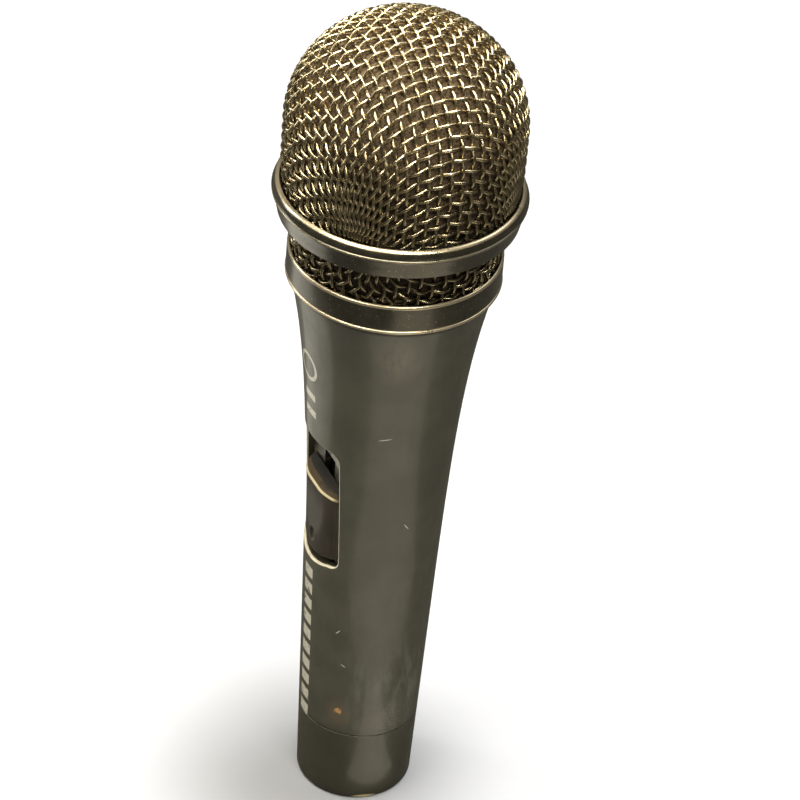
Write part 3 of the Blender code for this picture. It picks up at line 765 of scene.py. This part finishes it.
def make_head_weave():
    """The ball of the grille, a cup drawn from one woven square."""
    radius, rise = HEAD_RADIUS - MESH_DEPTH, TOP - DOME_START - MESH_DEPTH
    profile = [(radius * sine, DOME_START + rise * cosine) for cosine, sine in arc(0.0, 90.0, 361)]
    profile += [(side_radius(z) - MESH_DEPTH, z) for z in spaced(DOME_START - 0.1, HEAD_LOW - 4.0, 200)]
    weave_pieces("head", "dome_mesh", Surface(profile, 1), HEAD_LOW + 0.4, TOP, **HEAD_WEAVE)


def make_lower_weave():
    """The cone under the crown ring, a cup drawn the other way up with its floor cut out."""
    wall = LOWER_CUP_BASE + LOWER_CUP_CORNER
    radius = lower_radius(wall) - MESH_DEPTH
    profile = [(radius * sine, wall - LOWER_CUP_CORNER * cosine) for cosine, sine in arc(0.0, 90.0, 181)]
    profile += [(lower_radius(z) - MESH_DEPTH, z) for z in spaced(wall + 0.1, LOWER_HIGH + 3.0, 150)]
    weave_pieces("lower", "lower_mesh", Surface(profile, -1), wall - 0.5, LOWER_HIGH - 0.4, **LOWER_WEAVE)


# ---- the handle, with its switch window

COLUMNS = 144
PATCH_HALF = 18          # the patch round the window spans this many columns each way
PATCH_LOW, PATCH_HIGH, PATCH_ROWS = 52.0, 96.0, 30
EDGE = 0.45              # radius of the window's softened edge
RIM_GROWS = (1.2, 0.7, EDGE)       # the skin's rows round the window, beyond its outline
INNER_GROW = 1.6         # the same for the row on the handle's inner skin
SKIRT_FACE = -9.8        # the window's walls go in as far as this Y
SHOULDER_EDGE = 0.35
THREAD_PITCH = 1.25
THREAD_DEPTH = 0.3
THREAD_ROOT = NECK_RADIUS - 0.15


def on_skin(azimuth, height, depth=0.0):
    """A point on the handle, depth millimetres under its outer surface. The azimuth is in radians."""
    radius = handle_radius(height) - depth
    return (radius * math.sin(azimuth), -radius * math.cos(azimuth), height)


def level(radius, height):
    """A ring of points at one height. radius is a number, or a function of the azimuth."""
    turns = [2 * math.pi * k / COLUMNS for k in range(COLUMNS)]
    radii = [radius(turn) if callable(radius) else radius for turn in turns]
    return [(r * math.sin(turn), -r * math.cos(turn), height) for r, turn in zip(radii, turns)]


def window_outline(half_width, bottom, top, grow, across, up):
    """The window's outline grown by some millimetres, as (x, z), with set counts for its sides.

    It starts at the lower left corner and runs right, up, left and down. The sides are
    first laid out with sharp corners, and then each corner's points move onto its arc.
    """
    inner = half_width - WINDOW_CORNER
    side = half_width + grow
    low, high = bottom + WINDOW_SAG - grow, top + grow
    path = [(x, bottom - grow + WINDOW_SAG * min(1.0, abs(x) / inner) ** 2)
            for x in spaced(-side, side, across + 1)[:-1]]
    path += [(side, z) for z in spaced(low, high, up + 1)[:-1]]
    path += [(x, high) for x in spaced(side, -side, across + 1)[:-1]]
    path += [(-side, z) for z in spaced(high, low, up + 1)[:-1]]
    outline = []
    for x, z in path:
        centre_x = math.copysign(inner, x)
        for centre_z, outside in ((top - WINDOW_CORNER, z > top - WINDOW_CORNER),
                                  (low + grow + WINDOW_CORNER, z < low + grow + WINDOW_CORNER)):
            if outside and abs(x) > inner:
                away = Vector((x - centre_x, z - centre_z)).normalized() * (WINDOW_CORNER + grow)
                x, z = centre_x + away.x, centre_z + away.y
                break
        outline.append((x, z))
    return outline


def handle_window(grow):
    return window_outline(WINDOW_HALF_WIDTH, WINDOW_BOTTOM, WINDOW_TOP, grow, 2 * PATCH_HALF, PATCH_ROWS)


def skin_row(outline, depth=0.0):
    """An outline laid on the skin, still facing -Y, as (azimuth, height) pairs."""
    return [(math.asin(x / (handle_radius(z) - depth)), z) for x, z in outline]


def window_patch(strips, depth, hole):
    """The skin between the patch's edge and the hole's first row, at some depth."""
    edge = math.radians(360.0 / COLUMNS * PATCH_HALF)
    sides = spaced(-edge, edge, 2 * PATCH_HALF + 1)
    heights = spaced(PATCH_LOW, PATCH_HIGH, PATCH_ROWS + 1)
    rim = [(a, PATCH_LOW) for a in sides[:-1]] + [(edge, z) for z in heights[:-1]]
    rim += [(a, PATCH_HIGH) for a in sides[:0:-1]] + [(-edge, z) for z in heights[:0:-1]]
    strips.loft([[on_skin(a * (1 - t) + b * t, y * (1 - t) + z * t, depth)
                  for (a, y), (b, z) in zip(rim, hole)] for t in spaced(0.0, 1.0, 7)])


def window_rows():
    """The window's edge and walls, from the outer skin in to the inner skin."""
    rows = [[on_skin(*spot) for spot in skin_row(handle_window(grow))] for grow in RIM_GROWS]
    for cosine, sine in arc(22.5, 90.0, 4):
        depth = EDGE * (1 - cosine)
        spots = skin_row(handle_window(EDGE * (1 - sine)), depth)
        rows.append([on_skin(*spot, depth) for spot in spots])
    edge, floor = rows[-1], []
    for x, z in handle_window(0.0):
        inside = -math.sqrt((handle_radius(z) - WALL) ** 2 - x * x)
        floor.append((x, max(SKIRT_FACE, inside + 0.02), z))
    for share in (0.12, 0.9):
        rows.append([tuple(Vector(a).lerp(Vector(b), share)) for a, b in zip(edge, floor)])
    rows.append(floor)
    rows.append([on_skin(*spot, WALL) for spot in skin_row(handle_window(INNER_GROW), WALL)])
    return rows


def thread_radius(height):
    """The neck's radius with its screw thread, as a function of the azimuth."""
    def radius(turn):
        phase = ((height + 0.02 + turn / (2 * math.pi) * THREAD_PITCH) / THREAD_PITCH) % 1.0
        return THREAD_ROOT + THREAD_DEPTH * (1 - abs(2 * phase - 1))
    return radius


def handle_rows():
    """The handle's rows of points: up the outside, over the neck and down the bore."""
    low = COLLAR_TOP + SEAM
    patch = spaced(PATCH_LOW, PATCH_HIGH, PATCH_ROWS + 1)
    outside = [low + SEAM, low + 0.6] + spaced(low + 3.0, PATCH_LOW, 12)[:-1]
    outside += patch + spaced(PATCH_HIGH, SHOULDER - 0.8, 26)[1:]
    inside = spaced(104.0, PATCH_HIGH, 3)[:-1] + patch[::-1] + spaced(PATCH_LOW, low, 6)[1:]
    rows = [level(handle_radius(low) - SEAM, low)]
    rows += [level(handle_radius(z), z) for z in outside]
    middle, ledge = handle_radius(SHOULDER) - SHOULDER_EDGE, SHOULDER - SHOULDER_EDGE
    rows += [level(middle + SHOULDER_EDGE * cosine, ledge + SHOULDER_EDGE * sine)
             for cosine, sine in arc(0.0, 90.0, 4)]
    rows += [level(THREAD_ROOT, SHOULDER), level(THREAD_ROOT, SHOULDER + 0.9)]
    rows += [level(thread_radius(z), z) for z in spaced(SHOULDER + 1.2, NECK_TOP - 0.7, 40)]
    rows += [level(radius, z) for radius, z in ((NECK_RADIUS - 0.5, NECK_TOP), (NECK_BORE + 0.3, NECK_TOP),
                                                (NECK_BORE, NECK_TOP - 0.3), (NECK_BORE, 112.0))]
    rows += [level(handle_radius(z) - WALL, z) for z in inside]
    return rows + rows[:1]


def make_handle():
    """The handle: its skin with the window, the shoulder, the threaded neck and the bore."""
    strips = Strips()
    made = [strips.row(row) for row in handle_rows()]
    skipped = [k % COLUMNS for k in range(-PATCH_HALF, PATCH_HALF)]
    for first, second in zip(made, made[1:]):
        heights = strips.points[first[0]][2], strips.points[second[0]][2]
        in_patch = all(PATCH_LOW - 0.01 <= z <= PATCH_HIGH + 0.01 for z in heights)
        strips.join(first, second, skipped if in_patch else ())
    window_patch(strips, 0.0, skin_row(handle_window(RIM_GROWS[0])))
    window_patch(strips, WALL, skin_row(handle_window(INNER_GROW), WALL))
    strips.loft(window_rows())
    mesh = finish_mesh("handle_body", strips, 50.0)
    add_piece("handle_body", mesh, "handle", "satin_paint", "handle_shell")


def carved(mesh, cutters):
    """A mesh with other closed meshes cut away from it."""
    blank = new_object(mesh.name + "_blank", mesh)
    tools = [new_object(cutter.name + "_tool", cutter) for cutter in cutters]
    for tool in tools:
        change = blank.modifiers.new(tool.name, "BOOLEAN")
        change.operation = "DIFFERENCE"
        change.solver = "EXACT"
        change.object = tool
    graph = bpy.context.evaluated_depsgraph_get()
    made = bpy.data.meshes.new_from_object(blank.evaluated_get(graph))
    for thing in (blank, *tools):
        bpy.data.objects.remove(thing, do_unlink=True)
    made.shade_smooth()
    made.set_sharp_from_angle(angle=math.radians(40.0))
    return made


def hole_mesh(radius, low, high):
    outline = [(0.0, high), (radius, high), (radius, low), (0.0, low)]
    return turned_mesh("hole", outline, 32, closed=False)


def make_tail():
    """The collar that closes the tail, with the hole for its set screw."""
    inner = extent("connector_barrel")[2] + GAP
    head, radius = 23.5, handle_radius(COLLAR_TOP)
    spigot = radius - WALL - GAP
    rim = handle_radius(0.0) - 0.6
    outline = [(spigot - 0.4, head), (spigot, head - 0.4), (spigot, COLLAR_TOP),
               (radius - SEAM, COLLAR_TOP), (radius, COLLAR_TOP - SEAM)]
    outline += [(handle_radius(z), z) for z in (COLLAR_TOP - 0.8, 12.0, 8.0, 4.0, 1.9)]
    outline += [(rim + 0.65 * cosine, 1.2 * (1 - sine)) for cosine, sine in arc(0.0, 90.0, 6)]
    outline += [(inner + 0.3, 0.0), (inner, 0.3), (inner, head)]
    hole = hole_mesh(1.5, 8.0, 14.0)
    hole.transform(Matrix.Rotation(math.radians(-90.0), 4, "X"))
    hole.transform(Matrix.Translation((0.0, 0.0, 9.0 * MM)))
    mesh = carved(turned_mesh("tail_cap", outline, COLUMNS), [hole])
    add_piece("tail_cap", mesh, "handle", "satin_paint", "tail_collar")


def make_connector():
    """The plug inlet: a turned barrel, the moulded insulator and its three pins."""
    foot, head, radius = extent("connector_barrel")
    bore = 8.2
    outline = rounded([(radius, head), (radius, foot), (bore, foot), (bore, head)], 0.25)
    barrel = turned_mesh("inlet_barrel", outline, 96)
    add_piece("inlet_barrel", barrel, "handle", "nickel", "connector_barrel")
    foot, head, radius = extent("connector_insert")
    outline = rounded([(0.0, head), (radius, head), (radius, foot), (0.0, foot)], 0.3, closed=False)
    disc = turned_mesh("inlet_insulator", outline, 96, closed=False)
    holes = []
    for number in (1, 2, 3):
        low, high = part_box("contact_pin_%d" % number)
        centre = Matrix.Translation(((low.x + high.x) / 2, (low.y + high.y) / 2, 0.0))
        hole = hole_mesh(1.5, foot - 2.0, head + 2.0)
        hole.transform(centre)
        holes.append(hole)
        outline = [(0.0, 27.0), (1.0, 27.0), (1.2, 26.8), (1.2, 3.6), (1.1, 3.1), (0.8, 2.7),
                   (0.4, 2.53), (0.0, 2.5)]
        pin = turned_mesh("inlet_pin_%d" % number, outline, 32, closed=False)
        pin.transform(centre)
        add_piece("inlet_pin_%d" % number, pin, "handle", "nickel", "contact_pin_%d" % number)
    add_piece("inlet_insulator", carved(disc, holes), "handle", "black_plastic", "connector_insert")


# ---- the slide switch

SLIDER_HALF = WINDOW_HALF_WIDTH - FLUSH
SLIDER_EDGE = 0.6
SLIDER_BACK = BED_FACE - GAP
DISH_RADIUS = 60.0
DISH_SOFT = 0.12         # how softly the dish runs out into the flush surface
DIMPLE_HEIGHT = 64.4
DIMPLE_RADIUS = 1.25
DIMPLE_DEPTH = 0.55
STEM_HALF_WIDTH = 2.0
STEM_BACK = -9.0
STEM_HEIGHTS = (70.0, 75.6)


def slider_outline(grow):
    return window_outline(SLIDER_HALF, SLIDER_BOTTOM, SLIDER_TOP, grow, 40, 44)


def slider_face(x, z):
    """The slider's outer Y: flush with the handle, with a shallow thumb dish and a dimple."""
    flush = -math.sqrt((handle_radius(z) - FLUSH) ** 2 - x * x)
    low, high = SLIDER_BOTTOM + 2.2, SLIDER_TOP - 1.4
    middle = (low + high) / 2
    depth = DISH_RADIUS - math.sqrt(DISH_RADIUS ** 2 - ((high - low) / 2) ** 2)
    dish = -(handle_radius(middle) - FLUSH) + depth - DISH_RADIUS
    dish += math.sqrt(max(DISH_RADIUS ** 2 - (z - middle) ** 2, 0.0))
    face = (flush + dish + math.hypot(flush - dish, DISH_SOFT)) / 2
    far = math.hypot(x, (z - DIMPLE_HEIGHT) / 1.25) / DIMPLE_RADIUS
    if far < 1.0:
        face += DIMPLE_DEPTH * (1 - far * far) ** 1.5
    return face


def make_slider():
    """The thumb plate with its dish, dimple and soft edges, and the stem behind it."""
    middle = (SLIDER_BOTTOM + SLIDER_TOP) / 2
    core = slider_outline(-1.4)
    outlines = [[(x * share, middle + (z - middle) * share) for x, z in core]
                for share in spaced(0.0, 1.0, 34)]
    outlines += [slider_outline(grow) for grow in (-1.2, -1.0, -0.8, -SLIDER_EDGE)]
    rows = [[(x, slider_face(x, z), z) for x, z in outline] for outline in outlines]
    rim = rows[-1]
    for cosine, sine in arc(18.0, 90.0, 5):
        drop = SLIDER_EDGE * (1 - cosine)
        outline = slider_outline(-SLIDER_EDGE * (1 - sine))
        rows.append([(x, y + drop, z) for (x, z), (_, y, _) in zip(outline, rim)])
    edge = rows[-1]
    rows.append([(x, y + 0.15, z) for x, y, z in edge])
    rows.append([(x, SLIDER_BACK, z) for x, _, z in edge])
    rows.append([(0.0, SLIDER_BACK, middle) for _ in edge])
    for row in rows:
        for k, (x, y, z) in enumerate(row):
            front = min(max((SLIDER_BACK - y) / (SLIDER_BACK - slider_face(x, z)), 0.0), 1.0)
            rise = max(z - middle, 0.0) / (SLIDER_TOP - middle)
            row[k] = (x, y, z - LIP_DROP * front * rise ** 2)
    strips = Strips()
    strips.loft(rows)
    side, front, back = STEM_HALF_WIDTH, SLIDER_BACK + 0.02, STEM_BACK
    ends = strips.loft([[(-side, front, z), (side, front, z), (side, back, z), (-side, back, z)]
                        for z in STEM_HEIGHTS])
    strips.faces += [tuple(end) for end in ends]
    mesh = finish_mesh("switch_thumb_plate", strips, 50.0)
    add_piece("switch_thumb_plate", mesh, "switch", "slider_plastic", "switch_slider")


# ---- the grille's rings and foam

FOAM_COLUMNS = 260
FOAM_DEPTH = 1.5         # the foam's outer skin lies this far inside the mesh's outer size
FOAM_THICKNESS = 3.0


def bead(radius, height, size):
    """The outline of a small rounded bead, from its top round to its underside."""
    return [(radius + size * cosine, height + size * sine) for cosine, sine in arc(75.0, -60.0, 8)]


def add_turned(name, outline, corner, body, slot, node):
    add_piece(name, turned_mesh(name, rounded(outline, corner), 192), body, slot, node)


def make_rings():
    """The crown ring, the threaded base ring and the gasket under it."""
    foot, head, radius = extent("crown_ring")
    edge = head - 2.0
    crest, lip = 22.78, radius - 0.28
    outline = [(crest + (lip - crest) * sine, edge + 0.4 + 1.6 * cosine)
               for cosine, sine in arc(0.0, 90.0, 10)]
    outline += bead(radius - 0.26, edge + 0.02, 0.26)
    outline += [(radius - 0.34, edge - 0.5), (radius - 0.7, edge - 1.9), (23.0, foot),
                (22.3, foot), (22.3, 141.0), (21.4, 141.0), (21.4, 142.0), (crest, 142.0)]
    add_turned("crown_ring_turned", outline, 0.15, "grille", "ring_metal", "crown_ring")
    foot, head, radius = extent("base_ring")
    sleeve = NECK_RADIUS + GAP
    outline = [(20.1 + 0.48 * sine, head - 0.5 + 0.5 * cosine) for cosine, sine in arc(0.0, 90.0, 8)]
    outline += [(radius - 0.12, foot + 1.35)] + bead(radius - 0.36, foot + 0.75, 0.36)
    outline += [(20.3, foot), (18.9, foot), (18.9, foot + 1.45), (sleeve, foot + 1.45),
                (sleeve, 130.9), (18.4, 130.9), (18.4, 126.9), (20.3, 126.9)]
    add_turned("base_ring_turned", outline, 0.12, "grille", "ring_metal", "base_ring")
    foot, head, radius = extent("neck_gasket")
    outline = [(radius, head), (radius, foot), (sleeve, foot), (sleeve, head)]
    add_turned("neck_seal", outline, 0.2, "handle", "rubber", "neck_gasket")


def head_lining(depth, low):
    """A profile some millimetres inside the head, from its pole down to a height."""
    profile = [((HEAD_RADIUS - depth) * sine, DOME_START + (TOP - DOME_START - depth) * cosine)
               for cosine, sine in arc(0.0, 90.0, 84)]
    return profile + [(side_radius(z) - depth, z) for z in spaced(DOME_START, low, 30)[1:]]


def make_foam():
    """The two foam linings, with an uneven open-cell surface."""
    low = extent("dome_foam")[0]
    inner = head_lining(FOAM_DEPTH + FOAM_THICKNESS, low)[::3]
    add_foam("head_foam", head_lining(FOAM_DEPTH, low), inner, "dome_foam", closed=False)
    low, high = extent("lower_foam")[:2]
    outer = [(lower_radius(z) - FOAM_DEPTH, z) for z in spaced(high, low, 20)]
    inner = [(NECK_RADIUS + 0.05, z) for z in spaced(high, low, 4)]
    add_foam("lower_foam_band", outer, inner, "lower_foam", closed=True)


def add_foam(name, outer, inner, node, closed):
    """A turned foam piece whose outer skin is pitted by noise. A dome's outline isn't closed."""
    rows = []
    for radius, height in outer:
        row = []
        for place in map(Vector, circle(radius, height, FOAM_COLUMNS)):
            pit = noise.noise(place * 1.3) * 0.16 + noise.noise(place * 3.1) * 0.10 - 0.10
            row.append(place + radial(place, radius) * pit)
        rows.append(row)
    rows += [circle(radius, height, FOAM_COLUMNS) for radius, height in reversed(inner)]
    strips = Strips()
    strips.loft(rows + rows[:1] if closed else rows)
    mesh = finish_mesh(name, strips, 70.0)
    piece = add_piece(name, mesh, "windscreen", "foam", node)


def radial(place, radius):
    """Outward from the middle of the head on the dome, and straight out on a side."""
    if place.z > DOME_START:
        return (place - Vector((0.0, 0.0, DOME_START))).normalized()
    return Vector((place.x, place.y, 0.0)) / max(radius, 0.001)


# ---- the camera, the lights and the floor

CAMERA_SIDE = 63.0       # azimuth at which the camera stands
CAMERA_AWAY = 622.65
CAMERA_HEIGHT = 560.76
CAMERA_TILT = 36.835     # degrees down
CAMERA_PAN = 0.303
CAMERA_ROLL = 4.954
CAMERA_LENS = 180.377
SENSOR = 36.0
FLOOR_HALF = 3000.0
FLOOR_SHADE = (-62.0, 13.0)        # (azimuth from the camera, and distance) of the middle of the shadow painted on the floor


def stand(azimuth, away, height):
    """A place, in metres, at an azimuth from the camera."""
    turn = math.radians(CAMERA_SIDE + azimuth)
    return Vector((away * math.sin(turn), -away * math.cos(turn), height)) * MM


def make_camera():
    data = bpy.data.cameras.new("camera")
    data.lens = CAMERA_LENS
    data.sensor_width = SENSOR
    data.clip_start = 0.02
    data.clip_end = 20.0
    camera = new_object("camera", data)
    side, tilt, pan, roll = (math.radians(a) for a in (CAMERA_SIDE, CAMERA_TILT, CAMERA_PAN, CAMERA_ROLL))
    look = Vector((math.sin(pan) * math.cos(tilt), math.cos(pan) * math.cos(tilt), -math.sin(tilt)))
    right = look.cross(Vector((0.0, 0.0, 1.0))).normalized()
    above = right.cross(look)
    right, above = (math.cos(roll) * right + math.sin(roll) * above,
                    math.cos(roll) * above - math.sin(roll) * right)
    axes = Matrix((right, above, -look)).transposed().to_4x4()
    place = Matrix.Translation(stand(0.0, CAMERA_AWAY, CAMERA_HEIGHT))
    camera.matrix_world = place @ Matrix.Rotation(side, 4, "Z") @ axes
    bpy.context.scene.camera = camera


def new_light(name, kind, power, colour):
    data = bpy.data.lights.new(name, kind)
    data.energy = power
    data.color = colour
    return new_object(name, data)


def panel(name, size, power, colour):
    """A glowing rectangle."""
    light = new_light(name, "AREA", power, colour)
    light.data.shape = "RECTANGLE"
    light.data.size, light.data.size_y = (side * MM for side in size)
    return light


def aim(light, direction):
    """Turns a light to shine along a direction."""
    light.rotation_mode = "QUATERNION"
    light.rotation_quaternion = direction.to_track_quat("-Z", "Y")


def hung_panel(name, azimuth, away, height, size, power, colour, aim_height=110.0):
    """A panel that stands at an azimuth from the camera and looks at the microphone's axis."""
    light = panel(name, size, power, colour)
    light.location = stand(azimuth, away, height)
    aim(light, Vector((0.0, 0.0, aim_height * MM)) - light.location)


def floor_card(name, azimuth, near, far, width, brightness, colour):
    """A panel lying on the floor, reaching outwards from the microphone's foot."""
    power = brightness * math.pi * (far - near) * MM * width * MM
    light = panel(name, (far - near, width), power, colour)
    light.location = stand(azimuth, (near + far) / 2, 0.5)
    light.rotation_euler = (math.pi, 0.0, math.radians(azimuth + CAMERA_SIDE) - math.pi / 2)
    light.visible_camera = False


def make_lights():
    """A soft light overhead, a wide sun, two strips, a card, and three cards lying on the floor."""
    hung_panel("key_overhead", -80.0, 140.0, 900.0, (420.0, 420.0), 12.5, (1.0, 0.91, 0.72))
    sun = new_light("soft_sun", "SUN", 1.0, (1.0, 0.96, 0.88))
    sun.data.angle = math.radians(34.0)
    aim(sun, -stand(128.0, 300.0, 420.0))
    hung_panel("right_strip", 20.0, 400.0, 700.0, (300.0, 50.0), 2.9, (1.0, 0.94, 0.78), 140.0)
    hung_panel("left_strip", -50.0, 450.0, 640.0, (420.0, 36.0), 1.7, (1.0, 0.93, 0.76), 140.0)
    hung_panel("left_card", -105.0, 500.0, 330.0, (90.0, 400.0), 1.2, (1.0, 0.95, 0.82))
    floor_card("front_card", 24.0, 44.0, 330.0, 130.0, 0.76, (1.0, 0.90, 0.68))
    floor_card("front_streak", 26.0, 15.0, 95.0, 20.0, 1.1, (1.0, 0.90, 0.70))
    floor_card("back_left_card", -108.0, 92.0, 260.0, 130.0, 1.0, (1.0, 0.95, 0.82))


def make_floor():
    """A pale floor, lit a little from within so its shadows stay soft, and a painted shadow by the foot."""
    mesh = bpy.data.meshes.new("studio_floor")
    half = FLOOR_HALF * MM
    corners = [(-half, -half, 0.0), (half, -half, 0.0), (half, half, 0.0), (-half, half, 0.0)]
    mesh.from_pydata(corners, [], [(0, 1, 2, 3)])
    paint = Paint("studio_floor", (0.50, 0.50, 0.50), 0.9, Specular_IOR_Level=0.0,
                  Emission_Color=(1.0, 1.0, 1.0))
    cloud = paint.noise(60.0, 2.0)
    paint.blend(cloud.ramp(0.2, 0.8), (0.240, 0.255, 0.298), (0.250, 0.265, 0.308))
    shade = stand(*FLOOR_SHADE, 0.0) / MM
    away = (paint.axis("X") - shade.x).distance(paint.axis("Y") - shade.y)
    # The floor's glow fades out round the shade spot: a painted shadow.
    paint.set("Emission Strength", away.ramp(4.0, 48.0, 0.0, 0.60))
    mesh.materials.append(paint.material)
    floor = new_object("studio_floor", mesh)
    floor.visible_glossy = False


def make_world():
    """Dim surroundings that look white to the camera."""
    world = bpy.data.worlds.new("studio")
    world.use_nodes = True
    tree = world.node_tree
    dim = tree.nodes["Background"]
    put(tree, dim.inputs["Color"], (1.0, 0.92, 0.72))
    put(tree, dim.inputs["Strength"], 0.11)
    white = add_node(tree, "ShaderNodeBackground", 0, {"Color": (1.0, 1.0, 1.0), "Strength": 1.0})
    seen = add_node(tree, "ShaderNodeLightPath", "Is Camera Ray", {})
    sky = add_node(tree, "ShaderNodeMixShader", 0, {0: seen, 1: Field(tree, dim.outputs[0]), 2: white})
    put(tree, tree.nodes["World Output"].inputs["Surface"], sky)
    bpy.context.scene.world = world


# ---- assembly

def dress_cad_nodes():
    """Gives every CAD node that still shows the finish of its slot."""
    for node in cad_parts.values():
        slot = node.data.materials[0].name.split(".")[0]
        finish = "bed" if node.name.startswith("switch_bed") else slot
        node.data.materials.clear()
        node.data.materials.append(PAINTS[finish])


bpy.context.scene.view_settings.view_transform = "Standard"
make_camera()
make_floor()
make_world()
make_lights()
dress_cad_nodes()
make_handle()
make_tail()
make_connector()
make_slider()
make_rings()
make_foam()
make_head_weave()
make_lower_weave()
